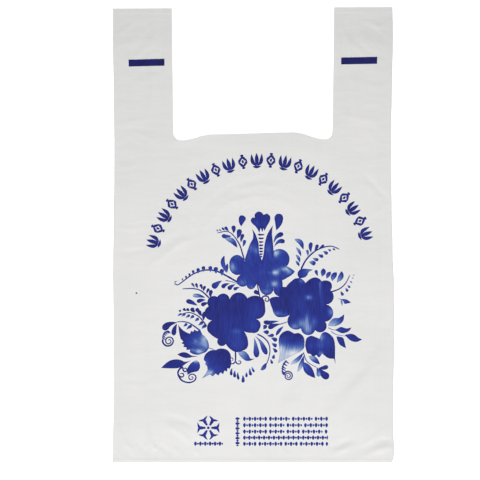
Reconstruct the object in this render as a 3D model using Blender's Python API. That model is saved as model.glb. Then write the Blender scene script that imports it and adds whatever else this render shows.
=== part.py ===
"""Vest carrier bag, laid flat with its printed face up.

The bag is one tube of blown film. Its sides are folded in as gussets, it is welded across the foot
and across the tops of the two handles, and a die cuts the neck out between the handles. Here the
tube is drawn as its flat pattern, cut to outline there, folded into place and given its thickness.

Metres, +Z up. The handles point along +Y, the front faces +Z, and the bag lies on Z = 0.
"""

import math

import bmesh
import bpy
from mathutils import Vector
from mathutils.geometry import delaunay_2d_cdt

# Film tube
BAG_WIDTH = 0.280
BAG_HEIGHT = 0.453
GUSSET_DEPTH = 0.070
FILM = 0.0002

# Die cut between the handles
HANDLE_TOP_WIDTH = 0.0584
HANDLE_ROOT_WIDTH = 0.0592
NECK_DEPTH = 0.1257
NECK_LEVEL = 0.076
DIP_DEPTH = 0.0065
CORNER_RADIUS = 0.0100

# Welds across the foot and the handle tops, each along the middle of a band where the layers lie close
WELD_WIDTH = 0.0014
FOOT_WELD_BAND = 0.0050
HANDLE_WELD_BAND = 0.0080
WELD_RUN_OUT = 0.030
WELD_END_INSET = 0.0006

# How the layers lie on each other: clear gaps between films, and the air left in the bag
WELD_GAP = 0.0001
LAYER_GAP = 0.0004
AIR = 0.0012
AIR_MARGIN = 0.060

# Where the sides draw in a little: height on the bag, reach along it, depth
DRAW_INS = ((0.079, 0.055, 0.0018), (-0.150, 0.045, 0.0010))

# Long waves in the film: wavelength, direction in degrees, height, phase
FRONT_WAVES = (
    (0.150, 20.0, 0.00035, 0.4),
    (0.105, 75.0, 0.00030, 1.9),
    (0.120, -50.0, 0.00025, 3.3),
)
BACK_WAVE_LENGTH = 0.160
BACK_WAVE_HEIGHT = 0.0006

# Creases pressed into the front, each from its start to its end
CREASE_HEIGHT = 0.0008
CREASE_HALF_WIDTH = 0.0035
# x and y on the panel
PANEL_CREASES = (
    ((0.1220, -0.0800), (0.0740, -0.1770)),
    ((0.0480, -0.1480), (0.0200, -0.1800)),
    ((-0.0860, -0.1780), (-0.0600, -0.2060)),
    ((-0.1150, 0.0230), (-0.0800, 0.0360)),
    ((-0.1180, -0.0180), (-0.0820, -0.0260)),
)
# At both lower corners: in from the side and up from the foot
CORNER_CREASES = (
    ((0.0060, 0.0330), (0.0240, 0.0070)),
    ((0.0190, 0.0240), (0.0360, 0.0070)),
    ((0.0340, 0.0320), (0.0500, 0.0070)),
    ((0.0520, 0.0220), (0.0640, 0.0070)),
)
# On both handles: in from the side and down from the top
HANDLE_CREASES = (
    ((0.0470, 0.0130), (0.0470, 0.0500)),
    ((0.0100, 0.0260), (0.0230, 0.0140)),
)

# Mesh spacing
GUSSET_COLUMNS = 4
MIDDLE_COLUMNS = 8
ROW_SPACING = 0.019
FOLD_STEPS = 2
FOLD_REACH = 0.0010
EDGE_CLEARANCE = 0.0030
CURVE_STEPS = 5

# Printed fields
BAR_LENGTH = 0.0355
BAR_HEIGHT = 0.0065
BAR_INSET = 0.0160
BAR_BELOW_TOP = 0.0550
ARCH_RADIUS = 0.1119
ARCH_CENTRE = (0.0079, -0.0384)
ARCH_HALF_SPAN = 72.0
ARCH_MOTIFS = 21
ARCH_MOTIF_HEIGHT = 0.0130
ARCH_MOTIF_WIDTH = 0.0085
FOOT_ROWS = 5
FOOT_ROW_LENGTH = 0.0845
FOOT_ROW_HEIGHT = 0.0030
FOOT_ROW_PITCH = 0.0063
FOOT_ROWS_CENTRE = (0.0313, -0.1942)
FOOT_STRIP_WIDTH = 0.0036
FOOT_STRIP_X = -0.0163
FOOT_ROSETTE_CENTRE = (-0.0449, -0.1900)
FOOT_ROSETTE_RADIUS = 0.0120
FOOT_BAND_DROP = 0.0158
FOOT_BAND_SIZE = (0.0285, 0.0036)

# Blossoms: centre, radius, petals, how deep the petals part, turn in degrees
BLOSSOMS = (
    ((-0.0169, -0.0857), 0.0305, 7, 0.24, 12.0),
    ((0.0478, -0.0723), 0.0320, 7, 0.22, 40.0),
    ((0.0080, -0.0379), 0.0240, 6, 0.28, 0.0),
)
BLOSSOM_POINTS_PER_PETAL = 5
# Leaves, upright petals and sprays: root, tip, full width
LEAVES = (
    ((-0.0010, -0.0300), (-0.0005, 0.0050), 0.0110),
    ((0.0160, -0.0280), (0.0180, 0.0080), 0.0110),
    ((0.0085, 0.0010), (0.0085, 0.0229), 0.0180),
    ((-0.0459, -0.1176), (-0.0728, -0.0917), 0.0220),
    ((-0.0230, -0.1160), (-0.0508, -0.1396), 0.0240),
    ((0.0469, -0.0987), (0.0249, -0.1246), 0.0220),
    ((0.0548, -0.1037), (0.0797, -0.1256), 0.0240),
    ((-0.0620, -0.1236), (-0.0922, -0.1316), 0.0090),
    ((0.0790, -0.0900), (0.0892, -0.0782), 0.0070),
    ((0.0810, -0.0905), (0.0952, -0.0960), 0.0060),
    ((0.0900, -0.0970), (0.1060, -0.1044), 0.0070),
    ((0.0820, -0.0985), (0.0913, -0.1103), 0.0060),
    ((0.0470, -0.1170), (0.0660, -0.1420), 0.0080),
    ((0.0060, -0.1000), (0.0050, -0.1200), 0.0060),
    ((-0.0270, -0.0460), (-0.0490, -0.0340), 0.0050),
    ((-0.0490, -0.0340), (-0.0780, -0.0480), 0.0040),
    ((-0.0500, -0.0640), (-0.0750, -0.0560), 0.0040),
    ((-0.0480, -0.0880), (-0.0740, -0.0790), 0.0050),
    ((-0.0130, -0.0200), (-0.0380, 0.0050), 0.0060),
    ((0.0480, -0.0330), (0.0850, -0.0130), 0.0060),
    ((0.0500, -0.0290), (0.0440, -0.0080), 0.0050),
    ((-0.0090, -0.1290), (0.0050, -0.1390), 0.0060),
    ((0.0220, -0.0930), (0.0270, -0.1180), 0.0040),
)
LEAF_STEPS = 4

# Film and ink: colour, roughness, metallic
FILM_FINISH = ((0.81, 0.80, 0.79, 1.0), 0.38, 0.0)
INK_FINISH = ((0.028, 0.033, 0.26, 1.0), 0.45, 0.0)

HALF_WIDTH = (BAG_WIDTH - FILM) / 2
FOOT = -BAG_HEIGHT / 2
TOP = BAG_HEIGHT / 2
NECK = TOP - NECK_DEPTH
INNER_FOLD = HALF_WIDTH - GUSSET_DEPTH
BACK, BACK_LEAF, FRONT_LEAF, FRONT = range(4)


def smooth_step(value):
    """0 below 0, 1 above 1, and a smooth rise between."""
    s = min(1.0, max(0.0, value))
    return s * s * (3 - 2 * s)


def weld_lift(y):
    """0 in a weld's band, 1 once the film has run out clear of it."""
    from_band = min(y - FOOT - FOOT_WELD_BAND, TOP - HANDLE_WELD_BAND - y)
    return min(1.0, max(0.0, from_band / WELD_RUN_OUT))


def back_height(x, y):
    """Height of the back panel: flat on the table, lifting in a few low waves."""
    wave = math.sin(2 * math.pi * x / BACK_WAVE_LENGTH + 0.6) * math.sin(2 * math.pi * y / BACK_WAVE_LENGTH)
    return FILM / 2 + BACK_WAVE_HEIGHT * max(0.0, wave - 0.2) * weld_lift(y)


def air_between(x, y):
    """Air left in the bag, most in the middle of the body and none at the sides, foot and neck."""
    across = smooth_step((HALF_WIDTH - abs(x)) / AIR_MARGIN)
    along = smooth_step((y - FOOT) / AIR_MARGIN) * smooth_step((NECK + AIR_MARGIN / 2 - y) / AIR_MARGIN)
    return AIR * across * along


def front_waves(x, y):
    """Long shallow waves in the front, never below the stack of layers."""
    height = 0.0
    for length, direction, rise, phase in FRONT_WAVES:
        turn = math.radians(direction)
        along = x * math.cos(turn) + y * math.sin(turn)
        height += rise * (1 + math.sin(2 * math.pi * along / length + phase)) / 2
    return height


def stack_height(x, y):
    """Height of the front panel's middle over the back panel's."""
    lift = weld_lift(y)
    gap = WELD_GAP + (LAYER_GAP - WELD_GAP) * lift
    return 3 * (FILM + gap) + lift * (air_between(x, y) + front_waves(x, y))


def layer_height(layer, x, y):
    """Height of a layer's middle: the two gusset leaves lie at thirds between back and front."""
    return back_height(x, y) + stack_height(x, y) * layer / FRONT


def creases():
    """Every crease line of the front, as (start, end) in x and y."""
    lines = [(Vector(start), Vector(end)) for start, end in PANEL_CREASES]
    for side in (-1, 1):
        for start, end in CORNER_CREASES:
            lines.append(tuple(Vector((side * (HALF_WIDTH - inset), FOOT + up)) for inset, up in (start, end)))
        for start, end in HANDLE_CREASES:
            lines.append(tuple(Vector((side * (HALF_WIDTH - inset), TOP - down)) for inset, down in (start, end)))
    return lines


CREASES = creases()


def crease_height(x, y):
    """How far the creases raise the front here."""
    point = Vector((x, y))
    height = 0.0
    for start, end in CREASES:
        line = end - start
        share = (point - start).dot(line) / line.length_squared
        if not 0 < share < 1:
            continue
        away = (point - start - line * share).length
        ridge = 1 - away / CREASE_HALF_WIDTH
        if ridge > 0:
            height = max(height, CREASE_HEIGHT * ridge * math.sin(math.pi * share))
    return height


def side_draw(y):
    """Share of its full width that the bag has at this height."""
    drawn = sum(depth * math.exp(-(((y - level) / reach) ** 2)) for level, reach, depth in DRAW_INS)
    return 1 - drawn / HALF_WIDTH


def arc(centre, radius, start, end, steps):
    """Points on an arc, angles in degrees, without its first point."""
    points = []
    for i in range(1, steps + 1):
        turn = math.radians(start + (end - start) * i / steps)
        points.append((centre[0] + radius * math.cos(turn), centre[1] + radius * math.sin(turn)))
    return points


def top_edge():
    """The upper edge of half a panel, from the middle of the neck out to the side, x never falling."""
    root = HALF_WIDTH - HANDLE_ROOT_WIDTH
    dip_x = root - CORNER_RADIUS
    dip_y = NECK - DIP_DEPTH
    points = [(0.0, NECK), (NECK_LEVEL / 2, NECK)]
    ramp = dip_x - NECK_LEVEL / 2
    for i in range(1, CURVE_STEPS + 1):
        share = i / CURVE_STEPS
        points.append((NECK_LEVEL / 2 + ramp * share, NECK - DIP_DEPTH * (1 - math.cos(math.pi * share)) / 2))
    points += arc((dip_x, dip_y + CORNER_RADIUS), CORNER_RADIUS, -90, 0, CURVE_STEPS)
    points += [(HALF_WIDTH - HANDLE_TOP_WIDTH, TOP), (HALF_WIDTH, TOP)]
    return points


def top_edge_from(x_start):
    """The part of the upper edge at and beyond x_start."""
    points = top_edge()
    for i, (before, after) in enumerate(zip(points, points[1:])):
        if before[0] <= x_start < after[0]:
            share = (x_start - before[0]) / (after[0] - before[0])
            first = (x_start, before[1] + (after[1] - before[1]) * share)
            return [first] + points[i + 1 :]
    return points


# The tube unrolled from the middle of the back, as runs of one layer between two folds:
# layer, x where the run begins, x where it ends.
RUNS = (
    (BACK, 0.0, HALF_WIDTH),
    (BACK_LEAF, HALF_WIDTH, INNER_FOLD),
    (FRONT_LEAF, INNER_FOLD, HALF_WIDTH),
    (FRONT, HALF_WIDTH, -HALF_WIDTH),
    (FRONT_LEAF, -HALF_WIDTH, -INNER_FOLD),
    (BACK_LEAF, -INNER_FOLD, -HALF_WIDTH),
    (BACK, -HALF_WIDTH, 0.0),
)


def run_starts():
    """Where each run begins along the unrolled tube."""
    starts = [0.0]
    for _, x_from, x_to in RUNS:
        starts.append(starts[-1] + abs(x_to - x_from))
    return starts


STARTS = run_starts()
TUBE_LENGTH = STARTS[-1]
FOLD_PLACES = STARTS[1:-1]
FRONT_MIDDLE = STARTS[3] + HALF_WIDTH


def run_of(u):
    """Which run of the tube a place along it lies in."""
    for i, start in enumerate(STARTS[1:]):
        if u < start:
            return i
    return len(RUNS) - 1


def folded(u, y):
    """Where a point of the flat pattern lies once the bag is folded and laid down."""
    for i, place in enumerate(FOLD_PLACES):
        offset = (u - place) / FOLD_REACH
        if abs(offset) > 1 + 1e-6:
            continue
        layer_in, _, x_fold = RUNS[i]
        below = layer_height(layer_in, x_fold, y)
        above = layer_height(RUNS[i + 1][0], x_fold, y)
        radius = (above - below) / 2
        outward = math.copysign(1.0, x_fold)
        if abs(x_fold) < HALF_WIDTH:
            outward = -outward
        turn = offset * math.pi / 2
        x = x_fold - outward * abs(radius) * (1 - math.cos(turn))
        return Vector((x * side_draw(y), y, (below + above) / 2 + radius * math.sin(turn)))
    run = run_of(u)
    layer, x_from, x_to = RUNS[run]
    x = x_from + math.copysign(u - STARTS[run], x_to - x_from)
    z = layer_height(layer, x, y)
    if layer == FRONT:
        z += crease_height(x, y)
    return Vector((x * side_draw(y), y, z))


def on_front(x, y):
    """A point of the front panel on the flat pattern."""
    return (FRONT_MIDDLE - x, y)


def pattern_outline():
    """The die-cut outline of the whole tube, unrolled."""
    outline = [(0.0, FOOT), (TUBE_LENGTH, FOOT)]
    upper = []
    for (layer, x_from, x_to), start in zip(RUNS, STARTS):
        low = 0.0 if layer in (BACK, FRONT) else INNER_FOLD
        half = top_edge_from(low)
        if layer == FRONT:
            path = half[::-1] + [(-x, y) for x, y in half[1:]]
        else:
            path = half if abs(x_to) > abs(x_from) else half[::-1]
        for x, y in path:
            far = abs(x - x_from) if layer == FRONT else abs(x - abs(x_from))
            point = (start + far, y)
            if not upper or math.dist(point, upper[-1]) > 1e-7:
                upper.append(point)
    return outline + upper[::-1]


def columns():
    """Places of the mesh columns along the tube, and those that lie on a fold."""
    leaf = [INNER_FOLD + GUSSET_DEPTH * i / GUSSET_COLUMNS for i in range(1, GUSSET_COLUMNS)]
    middle = [INNER_FOLD * (2 * i / MIDDLE_COLUMNS - 1) for i in range(MIDDLE_COLUMNS + 1)]
    panel = [-x for x in leaf] + middle + leaf
    plain, folds = [0.0, TUBE_LENGTH], []
    for (layer, x_from, x_to), start in zip(RUNS, STARTS):
        low, high = sorted((x_from, x_to))
        inside = [x for x in panel if low + FOLD_REACH < x < high - FOLD_REACH]
        plain += [start + abs(x - x_from) for x in inside]
    for place in FOLD_PLACES:
        folds += [place + FOLD_REACH * i / FOLD_STEPS for i in range(-FOLD_STEPS, FOLD_STEPS + 1)]
    return plain, folds


def rows():
    """Heights of the mesh rows: at the welds where the layers' rise bends, and evenly between them."""
    foot_band, handle_band = FOOT + FOOT_WELD_BAND, TOP - HANDLE_WELD_BAND
    low, high = foot_band + WELD_RUN_OUT, handle_band - WELD_RUN_OUT
    count = max(2, round((high - low) / ROW_SPACING))
    even = [low + (high - low) * i / count for i in range(count + 1)]
    foot = [FOOT, foot_band, foot_band + WELD_RUN_OUT / 2]
    return foot + even + [handle_band - WELD_RUN_OUT / 2, handle_band, TOP]


def edge_distance(point, outline):
    """Distance from a point to the outline."""
    best = math.inf
    spot = Vector(point)
    for a, b in zip(outline, outline[1:] + outline[:1]):
        start, line = Vector(a), Vector(b) - Vector(a)
        share = min(1.0, max(0.0, (spot - start).dot(line) / line.length_squared))
        best = min(best, (spot - start - line * share).length)
    return best


def rosette(centre, radius, petals, parting, turn, points_per_petal=BLOSSOM_POINTS_PER_PETAL):
    """A scalloped ring of petals."""
    count = petals * points_per_petal
    outline = []
    for i in range(count):
        angle = 2 * math.pi * i / count
        swell = abs(math.sin(petals * angle / 2)) ** 0.6
        reach = radius * (1 - parting + parting * swell)
        direction = angle + math.radians(turn)
        outline.append((centre[0] + reach * math.cos(direction), centre[1] + reach * math.sin(direction)))
    return outline


def leaf(root, tip, width, steps=LEAF_STEPS):
    """A pointed leaf, fullest a third of the way from its root."""
    start, line = Vector(root), Vector(tip) - Vector(root)
    across = Vector((-line.y, line.x)).normalized()
    shares = [i / steps for i in range(steps + 1)]
    swell = [width / 2 * math.sin(math.pi * share**0.75) for share in shares]
    right = [start + line * share - across * half for share, half in zip(shares, swell)]
    left = [start + line * share + across * half for share, half in zip(shares, swell)]
    return [tuple(p) for p in right + left[-2:0:-1]]


def block(centre, width, height, turn=0.0):
    """A rectangle."""
    c, s = math.cos(math.radians(turn)), math.sin(math.radians(turn))
    corners = ((-width, -height), (width, -height), (width, height), (-width, height))
    return [(centre[0] + (x * c - y * s) / 2, centre[1] + (x * s + y * c) / 2) for x, y in corners]


def handle_bars():
    """The bar printed across each handle."""
    x = BAG_WIDTH / 2 - BAR_INSET - BAR_LENGTH / 2
    y = TOP - BAR_BELOW_TOP
    return [block((side * x, y), BAR_LENGTH, BAR_HEIGHT) for side in (-1, 1)]


def arch():
    """The row of lozenge motifs over the flowers."""
    motifs = []
    for i in range(ARCH_MOTIFS):
        turn = ARCH_HALF_SPAN * (1 - 2 * i / (ARCH_MOTIFS - 1))
        out = Vector((math.cos(math.radians(90 + turn)), math.sin(math.radians(90 + turn))))
        foot = Vector(ARCH_CENTRE) + out * (ARCH_RADIUS - ARCH_MOTIF_HEIGHT / 2)
        motifs.append(leaf(foot, foot + out * ARCH_MOTIF_HEIGHT, ARCH_MOTIF_WIDTH, steps=2))
    return motifs


def foot_ornament():
    """The rosette with its band, and the rows of ornament beside their strip, as plain fields."""
    x, y = FOOT_ROWS_CENTRE
    rosette_x, rosette_y = FOOT_ROSETTE_CENTRE
    fields = [
        rosette(FOOT_ROSETTE_CENTRE, FOOT_ROSETTE_RADIUS, 6, 0.35, 30.0, points_per_petal=4),
        block((rosette_x, rosette_y - FOOT_BAND_DROP), *FOOT_BAND_SIZE),
        block((FOOT_STRIP_X, y), FOOT_STRIP_WIDTH, FOOT_ROW_PITCH * FOOT_ROWS - FOOT_ROW_HEIGHT),
    ]
    for i in range(FOOT_ROWS):
        lift = FOOT_ROW_PITCH * ((FOOT_ROWS - 1) / 2 - i)
        fields.append(block((x, y + lift), FOOT_ROW_LENGTH, FOOT_ROW_HEIGHT))
    return fields


def printed_fields():
    """Every field of ink on the front, in the front's own x and y."""
    flowers = [rosette(*blossom) for blossom in BLOSSOMS]
    leaves = [leaf(*each) for each in LEAVES]
    return handle_bars() + arch() + foot_ornament() + flowers + leaves


class Pattern:
    """Points, edges and faces of the flat pattern, gathered for the triangulation."""

    def __init__(self):
        self.points, self.edges, self.faces = [], [], []

    def add_face(self, outline):
        """Adds a closed outline."""
        first = len(self.points)
        self.points += [Vector(p) for p in outline]
        self.faces.append(list(range(first, len(self.points))))

    def add_line(self, line):
        """Adds an open line that mesh edges have to follow."""
        first = len(self.points)
        self.points += [Vector(p) for p in line]
        self.edges += [(i, i + 1) for i in range(first, len(self.points) - 1)]


def crease_lines():
    """The ridge and the two flanks of each crease, on the flat pattern."""
    lines = []
    for start, end in CREASES:
        line = end - start
        across = Vector((-line.y, line.x)).normalized() * CREASE_HALF_WIDTH
        ridge = [start + line * share for share in (0.0, 0.25, 0.5, 0.75, 1.0)]
        lines.append([on_front(*p) for p in ridge])
        for side in (-1, 1):
            flank = [start + line * share + across * side for share in (0.2, 0.5, 0.8)]
            lines.append([on_front(*p) for p in flank])
    return lines


def flat_pattern():
    """The whole flat pattern, with the ink fields as faces of their own."""
    pattern = Pattern()
    outline = pattern_outline()
    pattern.add_face(outline)
    for field in printed_fields():
        pattern.add_face([on_front(*p) for p in field])
    for line in crease_lines():
        pattern.add_line(line)
    plain, folds = columns()
    heights = rows()
    for u in folds:
        pattern.add_line([(u, y) for y in heights])
    for u in plain:
        for y in heights:
            on_seam = u in (0.0, TUBE_LENGTH)
            if on_seam and y > NECK - EDGE_CLEARANCE:
                continue
            if on_seam or y == FOOT or edge_distance((u, y), outline) > EDGE_CLEARANCE:
                pattern.points.append(Vector((u, y)))
    return pattern


def material(name, finish):
    """A plain principled material."""
    colour, roughness, metallic = finish
    made = bpy.data.materials.new(name)
    made.use_nodes = True
    shader = made.node_tree.nodes["Principled BSDF"]
    shader.inputs["Base Color"].default_value = colour
    shader.inputs["Roughness"].default_value = roughness
    shader.inputs["Metallic"].default_value = metallic
    made.diffuse_color = colour
    return made


def film_sheet(name):
    """The folded film as a sheet with no thickness yet, its ink fields in the second material."""
    pattern = flat_pattern()
    inside_constraints = 1
    points, _, faces, _, _, sources = delaunay_2d_cdt(
        pattern.points, pattern.edges, pattern.faces, inside_constraints, 1e-7, True
    )
    sheet = bmesh.new()
    places = [folded(p.x, p.y) for p in points]
    corners = [sheet.verts.new(place) for place in places]
    for face, found in zip(faces, sources):
        if 0 not in found:
            continue
        made = sheet.faces.new([corners[i] for i in reversed(face)])
        made.material_index = 1 if any(source > 0 for source in found) else 0
    bmesh.ops.delete(sheet, geom=[v for v in sheet.verts if not v.link_faces], context="VERTS")
    bmesh.ops.remove_doubles(sheet, verts=sheet.verts, dist=1e-6)
    mesh = bpy.data.meshes.new(name)
    sheet.to_mesh(mesh)
    sheet.free()
    return mesh


def weld_bar(name, x_from, x_to, y):
    """A guide block that fuses all the layers along a weld."""
    low = layer_height(BACK, x_from, y)
    high = layer_height(FRONT, x_from, y)
    bpy.ops.mesh.primitive_cube_add(size=1, location=((x_from + x_to) / 2, y, (low + high) / 2))
    bar = bpy.context.object
    bar.name = name
    bar.scale = (x_to - x_from, WELD_WIDTH, high - low)
    bpy.ops.object.transform_apply(location=False, rotation=False, scale=True)
    bar.hide_render = True
    bar.display_type = "WIRE"
    return bar


def main():
    """Builds the bag."""
    for old in list(bpy.data.objects):
        bpy.data.objects.remove(old)

    bag = bpy.data.objects.new("bag", film_sheet("bag"))
    bpy.context.scene.collection.objects.link(bag)
    film = material("film", FILM_FINISH)
    ink = material("ink", INK_FINISH)
    for each in (film, ink, film, film):
        bag.data.materials.append(each)

    wall = bag.modifiers.new("film thickness", "SOLIDIFY")
    wall.thickness = FILM
    wall.offset = 0
    wall.use_even_offset = True
    # The inner side of an ink field is bare film
    wall.material_offset = 2
    wall.material_offset_rim = 2

    low, high = FOOT + FOOT_WELD_BAND / 2, TOP - HANDLE_WELD_BAND / 2
    foot_end, handle_end = HALF_WIDTH * side_draw(low), HALF_WIDTH * side_draw(high)
    handle = HALF_WIDTH - HANDLE_TOP_WIDTH + WELD_END_INSET
    bars = [
        weld_bar("foot_weld_guide", -foot_end, foot_end, low),
        weld_bar("left_handle_weld_guide", -handle_end, -handle, high),
        weld_bar("right_handle_weld_guide", handle, handle_end, high),
    ]
    for bar in bars:
        join = bag.modifiers.new(bar.name, "BOOLEAN")
        join.operation = "UNION"
        join.solver = "EXACT"
        join.object = bar


main()
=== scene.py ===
"""Printed vest carrier bag of thin white film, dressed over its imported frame.

The film is one tube, drawn flat, cut to outline, folded into place and creased. Every field of the
blue print is a field of the mesh, and how thick its ink lies is an attribute that the ink finish reads.

The layout grid is the one the print was set out on: about a millimetre to the unit, x to the right,
y down, with the bag's foot at 461 and its handles' tops at 7.
"""

import logging
import math
import random
from dataclasses import dataclass, field
from enum import Enum
from typing import Any, Callable, Iterable, Sequence

import bmesh
import bpy
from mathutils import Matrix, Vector, kdtree, noise
from mathutils.geometry import delaunay_2d_cdt


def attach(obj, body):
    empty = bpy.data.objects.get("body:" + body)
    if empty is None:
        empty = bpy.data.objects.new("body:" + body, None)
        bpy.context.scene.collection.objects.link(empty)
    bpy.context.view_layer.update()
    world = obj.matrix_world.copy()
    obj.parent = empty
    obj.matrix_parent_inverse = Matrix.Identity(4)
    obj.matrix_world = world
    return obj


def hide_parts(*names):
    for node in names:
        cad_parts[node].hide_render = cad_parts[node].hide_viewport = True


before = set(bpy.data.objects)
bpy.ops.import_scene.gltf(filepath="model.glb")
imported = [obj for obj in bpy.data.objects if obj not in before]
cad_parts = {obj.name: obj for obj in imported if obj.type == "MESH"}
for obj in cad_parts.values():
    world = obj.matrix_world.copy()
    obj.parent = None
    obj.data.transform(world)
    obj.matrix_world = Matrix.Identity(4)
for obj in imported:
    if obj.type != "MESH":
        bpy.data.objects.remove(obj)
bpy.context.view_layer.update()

logging.basicConfig(level=logging.INFO, format="%(message)s")
log = logging.getLogger("carrier_bag")

Point = tuple[float, float]
Colour = tuple[float, float, float, float]
Socket = bpy.types.NodeSocket

GRID_UNIT = 0.0009968
GRID_ORIGIN: Point = (-0.2522, 0.23434)


def on_panel(x: float, y: float) -> Point:
    """A place on the layout grid, in metres on the front panel."""
    return GRID_ORIGIN[0] + x * GRID_UNIT, GRID_ORIGIN[1] - y * GRID_UNIT


def on_grid(x: float, y: float) -> Point:
    """A place on the front panel in metres, on the layout grid."""
    return (x - GRID_ORIGIN[0]) / GRID_UNIT, (GRID_ORIGIN[1] - y) / GRID_UNIT


def smooth_step(value: float) -> float:
    """0 below 0, 1 above 1, and a smooth rise between."""
    s = min(1.0, max(0.0, value))
    return s * s * (3 - 2 * s)


def between(stops: Sequence[Point], place: float) -> float:
    """A value read from a row of (place, value) stops, eased from each to the next.

    Args:
        stops: The stops, in rising order of place.
        place: Where to read.

    Returns:
        The value there, and the end stops' values beyond them.
    """
    if place <= stops[0][0]:
        return stops[0][1]
    for (low, a), (high, b) in zip(stops, stops[1:]):
        if place <= high:
            return a + (b - a) * smooth_step((place - low) / (high - low))
    return stops[-1][1]


def srgb(red: int, green: int, blue: int) -> Colour:
    """A colour of 0 to 255 a channel, as the linear colour that shaders take."""
    linear = [((c / 255 + 0.055) / 1.055) ** 2.4 if c > 10 else c / 3294.6 for c in (red, green, blue)]
    return linear[0], linear[1], linear[2], 1.0


class Layer(Enum):
    """The four films that lie on each other, from the table up."""

    BACK = 0
    BACK_LEAF = 1
    FRONT_LEAF = 2
    FRONT = 3


@dataclass(frozen=True)
class TubeSizes:
    """The tube's sizes, in metres. The neck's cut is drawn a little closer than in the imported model."""

    width: float = 0.280
    height: float = 0.453
    gusset: float = 0.070
    film: float = 0.0002
    handle_top: float = 0.0590
    handle_root: float = 0.0602
    neck_depth: float = 0.1252
    neck_level: float = 0.080
    dip: float = 0.0065
    corner: float = 0.0078
    fold_reach: float = 0.0010

    @property
    def half(self) -> float:
        """Half the width, to the middle of the film."""
        return (self.width - self.film) / 2

    @property
    def foot(self) -> float:
        """Height of the foot's cut edge."""
        return -self.height / 2

    @property
    def top(self) -> float:
        """Height of the handles' cut edges."""
        return self.height / 2

    @property
    def neck(self) -> float:
        """Height of the neck's edge in its middle."""
        return self.top - self.neck_depth

    @property
    def inner_fold(self) -> float:
        """Where the gussets' inner folds lie, either side of the middle."""
        return self.half - self.gusset


@dataclass(frozen=True)
class Ridge:
    """A crease along a line on the layout grid: a ridge where it rises, a valley where it falls."""

    path: tuple[Point, ...]
    half_width: float
    rise: float

    def height(self, x: float, y: float) -> float:
        """How far it moves the film, before the relief's depth scales it.

        Args:
            x: Across the layout grid.
            y: Down the layout grid.

        Returns:
            The height, which eases to nothing at its sides and its ends.
        """
        best, here = self.half_width, 0.0
        runs = len(self.path) - 1
        for i, ((ax, ay), (bx, by)) in enumerate(zip(self.path, self.path[1:])):
            dx, dy = bx - ax, by - ay
            share = ((x - ax) * dx + (y - ay) * dy) / (dx * dx + dy * dy)
            share = min(1.0, max(0.0, share))
            away = math.hypot(x - ax - dx * share, y - ay - dy * share)
            if away < best:
                best, here = away, (i + share) / runs
        if best >= self.half_width:
            return 0.0
        across = 1 - best / self.half_width
        along = math.sin(math.pi * (0.06 + 0.88 * here)) ** 0.8
        return self.rise * across * across * (3 - 2 * across) * along


@dataclass(frozen=True)
class Ripples:
    """A patch of fine even ripples on the layout grid."""

    centre: Point
    reach: Point
    turn: float
    spacing: float
    rise: float

    def height(self, x: float, y: float) -> float:
        """How far they move the film, before the relief's depth scales it.

        Args:
            x: Across the layout grid.
            y: Down the layout grid.

        Returns:
            The height, up or down.
        """
        dx, dy = x - self.centre[0], y - self.centre[1]
        falloff = math.exp(-((dx / self.reach[0]) ** 2) - (dy / self.reach[1]) ** 2)
        if falloff < 0.01:
            return 0.0
        turn = math.radians(self.turn)
        along = dx * math.cos(turn) + dy * math.sin(turn)
        drift = noise.noise(Vector((x * 0.035, y * 0.05, 4.0))) * 7
        return self.rise * falloff * math.sin(2 * math.pi * along / self.spacing + drift)


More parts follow.
